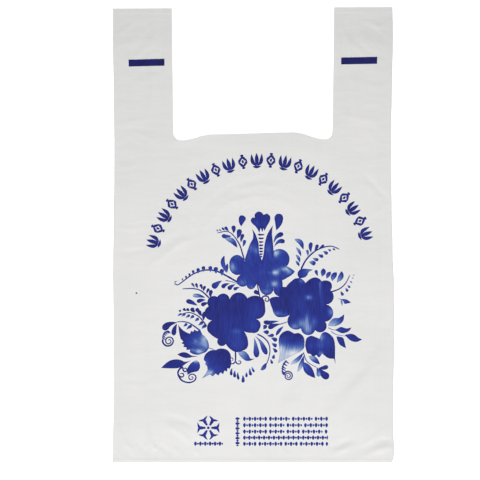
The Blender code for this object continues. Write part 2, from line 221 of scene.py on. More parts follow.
@dataclass(frozen=True)
class FilmRelief:
    """How the film is creased, on the layout grid."""

    ridges: tuple[Ridge, ...] = (
        # lower right: the long valley with the ridge beside it, and the corner's folds
        Ridge(((396, 305), (383, 326), (357, 371), (334, 393), (316, 420)), 10.0, -0.8),
        Ridge(((396, 336), (368, 378), (346, 403), (333, 420)), 10.0, 0.55),
        Ridge(((300, 372), (285, 390), (270, 420)), 9.0, -0.6),
        Ridge(((310, 386), (296, 402), (290, 416)), 6.0, 0.35),
        Ridge(((354, 445), (344, 449), (330, 457)), 4.5, 0.9),
        Ridge(((352, 438), (338, 445), (326, 450)), 4.5, -0.6),
        Ridge(((382, 429), (373, 438), (362, 447)), 4.0, 0.6),
        Ridge(((396, 448), (385, 448), (374, 452), (360, 460)), 5.0, 1.2),
        Ridge(((394, 439), (382, 440), (370, 445), (356, 455)), 4.0, -0.9),
        Ridge(((340, 424), (356, 420)), 4.0, 0.25),
        # lower left: the folds that run down into the foot
        Ridge(((117, 424), (125, 442), (139, 459)), 3.0, 0.6),
        Ridge(((112, 446), (120, 455), (131, 459)), 3.0, 0.8),
        Ridge(((136, 441), (144, 451), (155, 459)), 2.8, -0.6),
        Ridge(((148, 426), (151, 444), (167, 460)), 3.0, 0.7),
        Ridge(((162, 446), (169, 453), (177, 459)), 3.0, -0.7),
        Ridge(((172, 446), (180, 454), (186, 459)), 3.4, 0.6),
        Ridge(((168, 425), (182, 434), (192, 444)), 5.0, 0.5),
        Ridge(((162, 416), (184, 421), (200, 430)), 6.0, -0.45),
        Ridge(((192, 446), (198, 453), (203, 459)), 3.0, 0.7),
        Ridge(((246, 452), (254, 457), (268, 459)), 4.0, 0.5),
        # left side and over the flowers
        Ridge(((114, 226), (130, 229), (150, 226)), 3.5, 0.25),
        Ridge(((114, 250), (130, 252), (148, 249)), 3.5, -0.25),
        Ridge(((150, 266), (166, 254), (184, 241), (198, 238)), 6.0, 0.36),
        Ridge(((146, 246), (166, 243), (182, 232)), 5.5, -0.28),
        Ridge(((196, 250), (206, 226), (226, 204), (252, 196), (282, 200), (304, 214)), 5.0, 0.19),
        Ridge(((190, 226), (206, 206), (232, 186), (262, 178), (296, 184)), 5.0, -0.15),
        Ridge(((232, 214), (256, 206), (290, 212)), 4.0, -0.12),
        Ridge(((240, 190), (262, 184), (286, 190)), 3.5, 0.14),
        Ridge(((366, 176), (380, 190), (394, 204)), 5.0, -0.30),
        Ridge(((372, 218), (392, 200)), 5.0, 0.25),
        Ridge(((116, 176), (124, 206)), 5.0, 0.3),
        Ridge(((122, 384), (142, 386), (156, 380)), 4.0, 0.22),
        # handles: small arcs at the tops, the long lines by the necks, the gathers under the bars
        Ridge(((117, 34), (124, 30), (134, 21)), 3.5, 0.20),
        Ridge(((117, 28), (129, 19)), 3.0, -0.14),
        Ridge(((160, 12), (161, 50), (160, 72), (164, 104)), 4.0, -0.50),
        Ridge(((152, 24), (153, 52)), 4.0, 0.22),
        Ridge(((122, 76), (144, 74), (166, 67)), 3.5, -0.08),
        Ridge(((128, 84), (150, 81), (166, 74)), 3.5, 0.08),
        Ridge(((342, 70), (360, 72), (384, 78)), 3.0, -0.06),
        Ridge(((344, 78), (364, 83), (380, 91)), 3.0, 0.07),
        Ridge(((346, 14), (344, 40), (341, 78)), 4.0, -0.50),
        Ridge(((388, 24), (379, 28), (372, 22)), 3.5, 0.35),
        Ridge(((341, 26), (348, 40), (350, 54)), 4.0, 0.25),
        Ridge(((150, 72), (151, 118)), 3.5, 0.22),
        Ridge(((157, 74), (158, 126)), 3.5, -0.22),
        Ridge(((348, 74), (349, 122)), 3.5, -0.25),
        Ridge(((356, 76), (356, 112)), 3.5, 0.18),
        Ridge(((112, 123), (132, 121), (156, 118)), 3.0, 0.16),
        Ridge(((112, 129), (134, 128), (160, 131)), 3.0, -0.12),
        Ridge(((336, 114), (360, 119), (393, 121)), 3.0, 0.16),
        Ridge(((340, 128), (366, 126), (393, 128)), 3.0, -0.10),
        Ridge(((116, 136), (136, 132), (164, 146)), 3.5, 0.12),
    )
    ripples: tuple[Ripples, ...] = (
        Ripples((124, 150), (22, 30), 86, 9.0, 0.07),
        Ripples((132, 238), (28, 30), 94, 7.0, 0.05),
        Ripples((214, 196), (30, 30), 128, 9.0, 0.05),
        Ripples((160, 455), (40, 10), 38, 8.0, 0.16),
        Ripples((290, 454), (60, 8), -42, 9.0, 0.16),
        Ripples((374, 120), (18, 46), 84, 13.0, 0.06),
        Ripples((137, 48), (20, 26), 60, 13.0, 0.10),
        Ripples((366, 44), (20, 26), -62, 13.0, 0.10),
        Ripples((360, 330), (32, 60), 66, 14.0, 0.05),
        Ripples((150, 400), (34, 22), 70, 12.0, 0.05),
    )
    crumple: float = 0.42
    crumple_spacing: float = 46.0
    fine: float = 0.13
    fine_spacing: float = 15.0
    depth: float = 0.0015

    def height(self, x: float, y: float) -> float:
        """How far the film is moved from its rest, in metres.

        Args:
            x: Across the layout grid.
            y: Down the layout grid.

        Returns:
            The height, up or down.
        """
        total = sum(ridge.height(x, y) for ridge in self.ridges)
        total += sum(patch.height(x, y) for patch in self.ripples)
        near = Vector((x, y * 0.8, 20.0))
        total += self.crumple * noise.noise(near / self.crumple_spacing)
        total += self.fine * noise.noise(Vector((x * 0.7, y * 1.3, 70.0)) / self.fine_spacing)
        return total * self.depth


@dataclass(frozen=True)
class FoldedTube:
    """The tube folded and laid flat: where each place of the flat pattern comes to lie."""

    sizes: TubeSizes = field(default_factory=TubeSizes)
    relief: FilmRelief = field(default_factory=FilmRelief)
    weld_gap: float = 0.0001
    layer_gap: float = 0.0004
    air: float = 0.0012
    air_margin: float = 0.060
    foot_weld: float = 0.0023
    handle_weld: float = 0.0042
    bead_rise: float = 0.00022
    bead_half: float = 0.0011
    waves: tuple[tuple[float, float, float, float], ...] = (
        (0.150, 20.0, 0.00035, 0.4),
        (0.105, 75.0, 0.00030, 1.9),
        (0.120, -50.0, 0.00025, 3.3),
    )
    # How far each cut side strays outwards, in layout units, down the bag
    left_stray: tuple[Point, ...] = (
        (18, -0.4), (50, -0.5), (90, -1.3), (150, -1.9), (172, -1.9), (230, -1.1), (270, -0.5),
        (330, -1.2), (372, -1.5), (392, -1.5), (450, -0.4), (461, -0.1),
    )
    right_stray: tuple[Point, ...] = (
        (8, -1.0), (30, -0.5), (98, -1.7), (130, -2.6), (172, -2.6), (210, -1.8), (250, -0.9),
        (290, 0.5), (350, 0.6), (392, -0.4), (430, -0.4), (453, 0.8), (456, 0.8), (461, -1.4),
    )
    handle_skew: float = 0.0008
    neck_skew: float = 0.0008
    # How far the welds' bands reach in from the cut edges, and over what way the film runs out of them
    foot_band: float = 0.005
    top_band: float = 0.008
    run_out: float = 0.030
    back_wave: float = 0.160
    back_rise: float = 0.0006
    side_band: float = 0.012
    base_rise: float = 0.0002
    handle_bead: float = 0.4
    softness: float = 0.0003

    @property
    def runs(self) -> tuple[tuple[Layer, float, float], ...]:
        """The tube unrolled from the back's middle: each run's layer, and x where it begins and ends."""
        half, inner = self.sizes.half, self.sizes.inner_fold
        return (
            (Layer.BACK, 0.0, half),
            (Layer.BACK_LEAF, half, inner),
            (Layer.FRONT_LEAF, inner, half),
            (Layer.FRONT, half, -half),
            (Layer.FRONT_LEAF, -half, -inner),
            (Layer.BACK_LEAF, -inner, -half),
            (Layer.BACK, -half, 0.0),
        )

    def starts(self) -> list[float]:
        """Where each run begins along the tube.

        Returns:
            The places, with the last run's end after them.
        """
        places = [0.0]
        for _, begins, ends in self.runs:
            places.append(places[-1] + abs(ends - begins))
        return places

    def front_middle(self) -> float:
        """The place along the tube of the front's middle."""
        return self.starts()[3] + self.sizes.half

    def lift(self, y: float) -> float:
        """0 in a weld's band, 1 once the film has run out clear of it."""
        from_band = min(y - self.sizes.foot - self.foot_band, self.sizes.top - self.top_band - y)
        return min(1.0, max(0.0, from_band / self.run_out))

    def back_height(self, x: float, y: float) -> float:
        """Height of the back panel: flat on the table, lifting in a few low waves."""
        wave = math.sin(2 * math.pi * x / self.back_wave + 0.6) * math.sin(2 * math.pi * y / self.back_wave)
        return self.sizes.film / 2 + self.back_rise * max(0.0, wave - 0.2) * self.lift(y)

    def stack_height(self, x: float, y: float) -> float:
        """Height of the front's middle over the back's, with all that creases it.

        Args:
            x: Across the panel, in metres.
            y: Along the bag, in metres.

        Returns:
            The height in metres, never less than the films' own thickness.
        """
        sizes = self.sizes
        lift = self.lift(y)
        gap = self.weld_gap + (self.layer_gap - self.weld_gap) * lift
        across = smooth_step((sizes.half - abs(x)) / self.air_margin)
        along = smooth_step((y - sizes.foot) / self.air_margin)
        along *= smooth_step((sizes.neck + self.air_margin / 2 - y) / self.air_margin)
        swell = self.air * across * along
        for length, direction, rise, phase in self.waves:
            turn = math.radians(direction)
            place = x * math.cos(turn) + y * math.sin(turn)
            swell += rise * (1 + math.sin(2 * math.pi * place / length + phase)) / 2
        near_weld = min(1.0, 0.25 + 0.75 * lift * 3)
        at_side = min(1.0, 0.35 + 0.65 * (sizes.half - abs(x)) / self.side_band)
        height = 3 * (sizes.film + gap) + lift * swell + self.base_rise
        height += self.relief.height(*on_grid(x, y)) * near_weld * at_side
        for weld in (sizes.foot + self.foot_weld, sizes.top - self.handle_weld):
            beside = abs(y - weld) / self.bead_half
            if beside < 1:
                share = self.handle_bead if weld > 0 else 1.0
                height += self.bead_rise * share * (1 - beside) ** 2 * (1 + 2 * beside)
        least = 3 * (sizes.film + self.weld_gap * 0.8)
        over, soft = height - least, self.softness
        return least + (over if over > soft else soft * math.exp((over - soft) / soft))

    def height(self, layer: Layer, x: float, y: float) -> float:
        """Height of a layer's middle: the gusset leaves lie at thirds between back and front."""
        return self.back_height(x, y) + self.stack_height(x, y) * layer.value / Layer.FRONT.value

    def settled(self, x: float, y: float) -> Point:
        """Where a place of the panel comes to lie, with the cut sides' stray and the upper edges' skew.

        Args:
            x: Across the panel, in metres.
            y: Along the bag, in metres.

        Returns:
            The place, in metres.
        """
        stray = self.right_stray if x > 0 else self.left_stray
        share = x / self.sizes.half
        out = between(stray, on_grid(x, y)[1]) * GRID_UNIT * abs(share) ** 3
        skew = self.handle_skew * share * smooth_step((y - self.sizes.neck + 0.08) / 0.12)
        if abs(x) < self.sizes.neck_level:
            near = math.exp(-(((y - self.sizes.neck) / 0.030) ** 2))
            skew += self.neck_skew * near * math.sin(math.pi * x / self.sizes.neck_level)
        return x + math.copysign(1.0, x) * out, y + skew

    def place(self, u: float, y: float) -> Vector:
        """Where a point of the flat pattern lies on the folded bag.

        Args:
            u: Along the tube, from the middle of the back.
            y: Along the bag.

        Returns:
            The point, in the model's frame.
        """
        starts, reach = self.starts(), self.sizes.fold_reach
        for i, fold in enumerate(starts[1:-1]):
            offset = (u - fold) / reach
            if abs(offset) > 1 + 1e-6:
                continue
            layer_in, _, x_fold = self.runs[i]
            low = self.height(layer_in, x_fold, y)
            high = self.height(self.runs[i + 1][0], x_fold, y)
            radius = (high - low) / 2
            outward = math.copysign(1.0, x_fold)
            if abs(x_fold) < self.sizes.half:
                outward = -outward
            turn = offset * math.pi / 2
            x, y_settled = self.settled(x_fold, y)
            x -= outward * abs(radius) * (1 - math.cos(turn))
            return Vector((x, y_settled, (low + high) / 2 + radius * math.sin(turn)))
        run = next((i for i, start in enumerate(starts[1:]) if u < start), len(self.runs) - 1)
        layer, begins, ends = self.runs[run]
        x = begins + math.copysign(u - starts[run], ends - begins)
        x_settled, y_settled = self.settled(x, y)
        return Vector((x_settled, y_settled, self.height(layer, x, y)))


@dataclass(frozen=True)
class DieCut:
    """The outline that the die cuts, on the flat tube."""

    tube: FoldedTube
    curve_steps: int = 10

    def half_edge(self) -> list[Point]:
        """The upper edge of half a panel.

        Returns:
            Its points, from the neck's middle out to the side.
        """
        s = self.tube.sizes
        dip_x = s.half - s.handle_root - s.corner
        dip_y = s.neck - s.dip
        ramp = dip_x - s.neck_level / 2
        points = [(0.0, s.neck), (s.neck_level / 2, s.neck)]
        for i in range(1, self.curve_steps + 1):
            share = i / self.curve_steps
            fall = s.dip * (1 - math.cos(math.pi * share)) / 2
            points.append((s.neck_level / 2 + ramp * share, s.neck - fall))
        for i in range(1, self.curve_steps + 1):
            turn = math.radians(-90 + 90 * i / self.curve_steps)
            x = dip_x + s.corner * math.cos(turn)
            points.append((x, dip_y + s.corner + s.corner * math.sin(turn)))
        return points + [(s.half - s.handle_top, s.top), (s.half, s.top)]

    def edge_from(self, least: float) -> list[Point]:
        """The part of the half edge that lies further out.

        Args:
            least: Where that part begins, across the panel.

        Returns:
            Its points, from there out to the side.
        """
        points = self.half_edge()
        for i, (before, after) in enumerate(zip(points, points[1:])):
            if before[0] <= least < after[0]:
                share = (least - before[0]) / (after[0] - before[0])
                first = (least, before[1] + (after[1] - before[1]) * share)
                return [first] + points[i + 1 :]
        return points

    def outline(self, spacing: float) -> list[Point]:
        """The closed outline of the whole tube.

        Args:
            spacing: The longest step along its straight edges.

        Returns:
            Its points, in order round the flat pattern.
        """
        tube = self.tube
        starts = tube.starts()
        corners = [(0.0, tube.sizes.foot), (starts[-1], tube.sizes.foot)]
        upper: list[Point] = []
        for (layer, begins, ends), start in zip(tube.runs, starts):
            panel = layer in (Layer.BACK, Layer.FRONT)
            half = self.edge_from(0.0 if panel else tube.sizes.inner_fold)
            if layer is Layer.FRONT:
                path = half[::-1] + [(-x, y) for x, y in half[1:]]
                places = [(start + begins - x, y) for x, y in path]
            else:
                path = half if abs(ends) > abs(begins) else half[::-1]
                places = [(start + abs(x - abs(begins)), y) for x, y in path]
            upper += [p for p in places if not upper or math.dist(p, upper[-1]) > 1e-7]
        corners += upper[::-1]
        outline: list[Point] = []
        for a, b in zip(corners, corners[1:] + corners[:1]):
            on_seam = abs(a[0] - b[0]) < 1e-9 and a[0] in (0.0, starts[-1])
            steps = 1 if on_seam else max(1, round(math.dist(a, b) / spacing))
            for i in range(steps):
                outline.append((a[0] + (b[0] - a[0]) * i / steps, a[1] + (b[1] - a[1]) * i / steps))
        return outline


class Profile(Enum):
    """How a brush stroke's width runs along it."""

    DROP = "round head, pointed tail"
    COMMA = "round head, slender tail"
    LEAF = "pointed at both ends"
    STEM = "even, thinning to its end"


@dataclass(frozen=True)
class Wash:
    """A soft oval where the ink lies thinner, or thicker where its strength is below 0."""

    x: float
    y: float
    reach_x: float
    reach_y: float
    strength: float

    def at(self, x: float, y: float) -> float:
        """How much ink it takes away here."""
        dx, dy = (x - self.x) / self.reach_x, (y - self.y) / self.reach_y
        return self.strength * math.exp(-(dx**2) - dy**2)


# The widest that a field's darker rim reaches, how fast it fades, and the most ink of a painted field
RIM_REACH = 9.0
RIM_FADE = 0.7
PAINTED_MOST = 0.955


@dataclass(frozen=True)
class InkField:
    """One closed field of ink on the layout grid."""

    outline: tuple[Point, ...]
    set_down: Point
    lifted: Point
    full: float = 0.92
    thin: float = 0.92
    rim: float = 0.10
    washes: tuple[Wash, ...] = ()

    def from_rim(self, x: float, y: float) -> float:
        """Distance from a place to the field's own outline.

        Args:
            x: Across the layout grid.
            y: Down the layout grid.

        Returns:
            The distance, or the rim's reach beyond that.
        """
        best = RIM_REACH
        for (ax, ay), (bx, by) in zip(self.outline, self.outline[1:] + self.outline[:1]):
            dx, dy = bx - ax, by - ay
            share = min(1.0, max(0.0, ((x - ax) * dx + (y - ay) * dy) / (dx * dx + dy * dy + 1e-12)))
            best = min(best, math.hypot(x - ax - dx * share, y - ay - dy * share))
        return best

    def brush_place(self, x: float, y: float) -> Point:
        """Where a place lies on the brush's way.

        Args:
            x: Across the layout grid.
            y: Down the layout grid.

        Returns:
            The place along and across the way, in layout units.
        """
        dx, dy = self.lifted[0] - self.set_down[0], self.lifted[1] - self.set_down[1]
        length = math.hypot(dx, dy) or 1.0
        px, py = x - self.set_down[0], y - self.set_down[1]
        return (px * dx + py * dy) / length, (px * dy - py * dx) / length

    def ink(self, x: float, y: float) -> float:
        """How thick the ink lies.

        Args:
            x: Across the layout grid.
            y: Down the layout grid.

        Returns:
            0 for bare film up to 1, which only the solid motifs reach.
        """
        length = math.dist(self.set_down, self.lifted) or 1.0
        share = smooth_step(self.brush_place(x, y)[0] / length)
        value = self.full + (self.thin - self.full) * share
        value -= sum(wash.at(x, y) for wash in self.washes)
        if self.rim:
            value += self.rim * math.exp(-self.from_rim(x, y) / RIM_FADE)
        most = 1.0 if min(self.full, self.thin) >= 1.0 else PAINTED_MOST
        return min(most, max(0.0, value))


def eased(points: Sequence[Point], steps: int) -> list[Point]:
    """Points of a smooth curve through the given ones.

    Args:
        points: What the curve passes through, two or more.
        steps: How many steps between each two.

    Returns:
        The curve's points, both ends among them.
    """
    if len(points) == 2:
        (ax, ay), (bx, by) = points
        return [(ax + (bx - ax) * i / steps, ay + (by - ay) * i / steps) for i in range(steps + 1)]
    padded = [points[0], *points, points[-1]]
    curve: list[Point] = []
    for p0, p1, p2, p3 in zip(padded, padded[1:], padded[2:], padded[3:]):
        for i in range(steps):
            t = i / steps
            curve.append(tuple(
                0.5 * (
                    2 * b + (c - a) * t + (2 * a - 5 * b + 4 * c - d) * t * t
                    + (3 * b - a - 3 * c + d) * t**3
                )
                for a, b, c, d in zip(p0, p1, p2, p3)
            ))
    return curve + [points[-1]]


# The share of a drop's way that its round head takes, and how its tail thins after that
DROP_HEAD = 0.26
TAIL_POWERS = {Profile.DROP: 1.75, Profile.COMMA: 1.15}


def half_width(profile: Profile, share: float, width: float) -> float:
    """Half the width of a stroke at a place on its way.

    Args:
        profile: How the width runs.
        share: The place, as a share of the way.
        width: The stroke's greatest width.

    Returns:
        Half the width there.
    """
    if profile is Profile.LEAF:
        return width / 2 * math.sin(math.pi * share**0.85) ** 0.9
    if profile is Profile.STEM:
        return width / 2 * (1 - 0.45 * share) * (1.0 if 0 < share < 1 else 0.35)
    if share < DROP_HEAD:
        return width / 2 * math.sqrt(max(0.0, 1 - (1 - share / DROP_HEAD) ** 2))
    rest = (share - DROP_HEAD) / (1 - DROP_HEAD)
    return width / 2 * (1 - rest ** TAIL_POWERS[profile])


def brushed(
    points: Sequence[Point],
    width: float,
    profile: Profile,
    inks: Point = (0.92, 0.92),
    washes: tuple[Wash, ...] = (),
    rim: float = 0.08,
) -> InkField:
    """A stroke of the brush along a path.

    Args:
        points: Its way, on the layout grid.
        width: Its greatest width.
        profile: How the width runs.
        inks: How thick the ink lies at its start and its end.
        washes: Thin places in it.
        rim: How much darker it dries along its edge.

    Returns:
        The field of ink.
    """
    length = sum(math.dist(a, b) for a, b in zip(points, points[1:]))
    count = max(5, min(28, round(length / 1.3)))
    fine = eased(points, max(2, math.ceil(24 / (len(points) - 1))))
    lengths = [0.0]
    for a, b in zip(fine, fine[1:]):
        lengths.append(lengths[-1] + math.dist(a, b))
    left, right = [], []
    for i in range(count + 1):
        share = i / count
        if profile in TAIL_POWERS:
            share = share**1.35  # closer steps round the head
        goal = share * lengths[-1]
        k = next((j for j in range(1, len(lengths)) if lengths[j] >= goal - 1e-9), len(lengths) - 1)
        span = lengths[k] - lengths[k - 1] or 1.0
        t = (goal - lengths[k - 1]) / span
        (ax, ay), (bx, by) = fine[k - 1], fine[k]
        x, y = ax + (bx - ax) * t, ay + (by - ay) * t
        nx, ny = (by - ay) / span, -(bx - ax) / span
        half = half_width(profile, share, width)
        left.append((x + nx * half, y + ny * half))
        right.append((x - nx * half, y - ny * half))
    outline = left + (right[::-1] if profile is Profile.STEM else right[-2:0:-1])
    return InkField(tuple(outline), points[0], points[-1], *inks, rim, washes)


def scalloped(
    cusps: Sequence[tuple[float, float, float]],
    brush_way: tuple[Point, Point],
    inks: Point,
    washes: tuple[Wash, ...] = (),
    rim: float = 0.12,
) -> InkField:
    """A field edged in arcs, as a flower is by its petals.

    Args:
        cusps: Corners, each with how far the arc to the next one bulges, as a share of their distance.
        brush_way: The way the brush went.
        inks: How thick the ink lies at the brush's start and its end.
        washes: Thin places in it.
        rim: How much darker it dries along its edge.

    Returns:
        The field of ink.
    """
    outline: list[Point] = []
    for (ax, ay, bulge), (bx, by, _) in zip(cusps, list(cusps[1:]) + [cusps[0]]):
        chord = math.hypot(bx - ax, by - ay)
        outline.append((ax, ay))
        if abs(bulge) < 0.02:
            continue
        span = 4 * math.atan(2 * bulge)
        radius = chord / (2 * math.sin(span / 2))
        steps = max(2, round(abs(span * radius) / 1.6))
        lean = math.atan2(by - ay, bx - ax) - span / 2
        for i in range(1, steps):
            turn = span * i / steps
            reach = 2 * radius * math.sin(turn / 2)
            way = lean + turn / 2
            outline.append((ax + reach * math.cos(way), ay + reach * math.sin(way)))
    return InkField(tuple(outline), *brush_way, *inks, rim, washes)


# How many steps between each two points of a contour's runs
CONTOUR_STEPS = 4


def contour(
    runs: Sequence[Sequence[Point]],
    brush_way: tuple[Point, Point],
    inks: Point,
    washes: tuple[Wash, ...] = (),
    rim: float = 0.08,
) -> InkField:
    """A field edged in smooth runs that meet in corners.

    Args:
        runs: The runs in order. Each begins at the corner that the one before it ends at, which it
            doesn't name again, and the first one begins where the last one ends.
        brush_way: The way the brush went.
        inks: How thick the ink lies at the brush's start and its end.
        washes: Thin places in it.
        rim: How much darker it dries along its edge.

    Returns:
        The field of ink.
    """
    outline: list[Point] = []
    for before, run in zip([runs[-1], *runs], runs):
        way = (before[-1], *run)
        outline += eased(way, CONTOUR_STEPS if len(way) > 2 else 1)[:-1]
    return InkField(tuple(outline), *brush_way, *inks, rim, washes)


def spiral(centre: Point, radius: float, turns: float, start: float, width: float) -> InkField:
    """A thin curl of the brush, winding in from its outer end.

    Args:
        centre: Its middle, on the layout grid.
        radius: How far out it begins.
        turns: How many times it goes round.
        start: Where it begins, in degrees from x towards y.
        width: Its width.

    Returns:
        The field of ink.
    """
    count = max(6, round(turns * 9))
    points = []
    for i in range(count + 1):
        share = i / count
        angle = math.radians(start) + 2 * math.pi * turns * share
        reach = radius * (1 - 0.86 * share)
        points.append((centre[0] + reach * math.cos(angle), centre[1] + reach * math.sin(angle)))
    return brushed(points, width, Profile.STEM, (0.94, 0.94), rim=0.0)


# Drops of the brush: head x and y, tail x and y, width, ink at the head, ink at the tail
DROPS: tuple[tuple[float, ...], ...] = (
    # beside the crown and the horns
    (243.6, 215.6, 241.1, 226.4, 6.4, 0.90, 0.86), (278.6, 213.6, 276.3, 230.4, 8.0, 0.90, 0.88),
    # upper left sprig
    (222.0, 227.4, 225.0, 230.6, 1.8, 0.85, 0.75), (225.0, 226.6, 229.0, 231.0, 2.8, 0.90, 0.80),
    (233.1, 225.4, 233.5, 233.4, 3.9, 0.92, 0.85), (239.4, 229.0, 237.2, 239.0, 4.7, 0.95, 0.80),
    (243.5, 234.0, 240.9, 242.6, 3.1, 0.92, 0.75), (244.7, 239.8, 242.7, 246.8, 2.9, 0.92, 0.50),
    (221.6, 235.6, 231.6, 236.0, 3.8, 0.85, 0.70), (219.0, 229.4, 221.4, 231.6, 1.2, 0.70, 0.70),
    (216.4, 229.8, 218.6, 232.0, 1.0, 0.65, 0.65),
    # second frond
    (191.4, 283.0, 194.6, 287.6, 1.9, 0.85, 0.80), (196.2, 283.0, 198.0, 288.4, 2.3, 0.90, 0.80),
    (200.2, 284.0, 202.2, 289.8, 2.5, 0.92, 0.80), (205.4, 285.8, 203.4, 291.4, 2.5, 0.95, 0.85),
    (209.2, 288.4, 206.6, 293.8, 2.4, 0.95, 0.90), (211.6, 289.8, 210.4, 298.0, 3.4, 0.97, 0.95),
    (192.6, 295.6, 205.4, 297.6, 3.6, 0.30, 0.95), (196.8, 301.8, 205.8, 299.8, 3.5, 0.95, 0.85),
    (201.2, 305.4, 208.4, 302.8, 3.7, 0.95, 0.90), (186.0, 300.7, 197.2, 305.6, 4.2, 0.95, 0.75),
    # third frond, above and below its stem
    (179.2, 310.0, 181.2, 311.4, 2.2, 0.90, 0.80), (183.2, 308.4, 186.4, 310.6, 2.6, 0.95, 0.85),
    (186.6, 308.4, 189.8, 310.8, 2.6, 0.95, 0.85), (191.4, 307.6, 195.2, 312.6, 3.8, 0.97, 0.92),
    (195.8, 308.4, 199.6, 313.6, 3.8, 0.97, 0.92), (198.8, 310.2, 202.2, 316.2, 3.4, 0.97, 0.92),
    (205.4, 311.6, 203.4, 320.4, 3.9, 0.98, 0.95), (181.8, 313.6, 177.4, 316.2, 1.9, 0.90, 0.35),
    (185.6, 313.9, 181.4, 316.6, 2.1, 0.90, 0.35), (189.8, 314.5, 185.4, 317.4, 2.4, 0.92, 0.35),
    (194.2, 315.7, 190.0, 318.9, 2.6, 0.92, 0.35), (199.0, 318.4, 194.8, 321.4, 2.7, 0.92, 0.35),
    (202.8, 321.4, 198.0, 325.2, 2.9, 0.92, 0.40), (206.2, 325.2, 201.4, 328.8, 3.1, 0.95, 0.45),
    (187.0, 323.2, 183.2, 326.4, 2.4, 0.90, 0.60), (192.0, 325.4, 186.4, 329.6, 2.7, 0.92, 0.55),
    # by the spiral
    (173.4, 335.4, 176.8, 323.4, 4.5, 0.95, 0.92),
    # under the left flower
    (231.3, 375.4, 232.2, 367.6, 2.4, 0.95, 0.60), (235.0, 377.4, 235.0, 370.0, 2.7, 0.95, 0.60),
    (238.7, 379.6, 238.0, 371.6, 2.3, 0.95, 0.60), (242.8, 382.6, 242.6, 374.8, 2.9, 0.95, 0.60),
    (246.2, 377.2, 246.1, 371.8, 2.2, 0.90, 0.55), (251.1, 375.4, 249.9, 367.8, 2.6, 0.90, 0.45),
    (254.4, 372.0, 251.8, 366.2, 2.0, 0.85, 0.35),
    # between the flowers
    (265.6, 324.6, 263.4, 329.4, 3.7, 0.92, 0.60), (268.8, 332.9, 263.0, 331.8, 3.9, 0.97, 0.60),
    (274.0, 334.6, 267.0, 335.6, 3.0, 0.95, 0.60), (276.9, 340.8, 271.0, 338.0, 3.8, 0.97, 0.60),
    (276.9, 346.0, 271.8, 342.8, 3.4, 0.95, 0.55), (276.6, 352.4, 272.6, 348.0, 3.1, 0.95, 0.60),
    (273.4, 358.8, 274.4, 354.2, 2.7, 0.90, 0.60), (272.6, 363.6, 270.7, 358.8, 2.2, 0.90, 0.50),
    (253.8, 291.0, 260.2, 295.4, 3.8, 0.95, 0.95),
    # right frond, above and below its stem
    (306.8, 249.6, 307.9, 256.4, 2.4, 0.55, 0.45), (311.2, 242.2, 311.0, 252.8, 3.6, 0.88, 0.80),
    (317.6, 244.4, 314.4, 250.8, 3.1, 0.88, 0.80), (324.0, 244.6, 318.6, 248.8, 2.5, 0.88, 0.80),
    (315.5, 264.2, 308.6, 262.0, 4.2, 0.92, 0.30), (318.6, 259.9, 312.4, 257.9, 3.0, 0.90, 0.35),
    (323.5, 256.6, 317.8, 254.3, 3.1, 0.90, 0.40), (327.7, 254.2, 322.9, 251.4, 3.0, 0.90, 0.45),
    (330.7, 251.2, 327.9, 249.2, 1.8, 0.85, 0.50), (335.0, 250.1, 332.4, 248.4, 1.8, 0.80, 0.60),
    # along the right stem
    (315.9, 269.8, 317.9, 276.0, 2.9, 0.88, 0.50), (343.2, 295.4, 340.5, 291.0, 2.6, 0.92, 0.60),
    (347.3, 291.8, 345.1, 287.9, 2.3, 0.92, 0.60), (349.6, 288.0, 347.1, 285.1, 1.9, 0.90, 0.60),
    (350.0, 281.0, 352.2, 282.8, 1.5, 0.45, 0.40), (351.8, 277.4, 353.4, 278.6, 1.3, 0.30, 0.30),
    (353.0, 274.4, 354.4, 275.8, 1.2, 0.25, 0.25),
    # lower right
    (328.0, 366.2, 318.0, 368.0, 3.9, 0.95, 0.85), (328.7, 377.8, 318.6, 368.0, 6.6, 0.95, 0.88),
    (318.6, 376.6, 316.6, 367.0, 3.9, 0.40, 0.80),
)

# Pointed leaves: root x and y, bend x and y, tip x and y, width, ink at the root, ink at the tip
LEAVES: tuple[tuple[float, ...], ...] = (
    (224.9, 238.6, 232.0, 240.8, 237.4, 247.6, 5.4, 0.25, 0.98),
    (224.4, 255.6, 222.8, 262.6, 226.8, 273.2, 4.4, 0.85, 0.60),
    (227.6, 263.4, 226.9, 267.8, 227.4, 272.2, 2.8, 0.85, 0.70),
    (260.4, 369.8, 263.6, 367.6, 266.4, 362.6, 4.2, 0.50, 0.99),
    (275.8, 335.6, 279.2, 330.4, 283.4, 326.2, 3.4, 0.92, 0.70),
    (323.1, 268.2, 323.2, 272.2, 321.9, 276.6, 5.2, 0.95, 0.50),
    (330.8, 271.7, 328.2, 274.6, 326.5, 278.8, 4.2, 0.90, 0.60),
    (336.8, 272.4, 333.2, 276.4, 332.0, 281.2, 5.3, 0.92, 0.50),
    (341.4, 271.2, 340.9, 276.4, 336.6, 282.6, 5.2, 0.92, 0.30),
    (340.7, 299.6, 341.6, 302.6, 341.8, 306.0, 2.1, 0.45, 0.35),
    (294.4, 239.2, 300.5, 242.3, 303.4, 249.6, 4.8, 0.35, 0.95),
    (295.9, 247.2, 299.0, 251.0, 301.0, 256.2, 3.2, 0.30, 0.88),
    (295.7, 254.6, 298.4, 257.6, 299.9, 262.4, 3.1, 0.30, 0.90),
    (295.5, 260.8, 297.8, 263.2, 299.2, 266.6, 2.9, 0.35, 0.88),
    (290.2, 364.2, 297.6, 359.4, 303.4, 352.6, 4.4, 0.12, 0.90),
    (297.4, 372.0, 301.0, 364.6, 303.8, 355.4, 4.4, 0.12, 0.90),
    (308.4, 356.2, 313.6, 358.8, 319.8, 364.2, 5.6, 0.30, 0.95),
    (303.8, 362.0, 308.2, 369.8, 315.2, 377.8, 8.2, 0.70, 0.97),
)

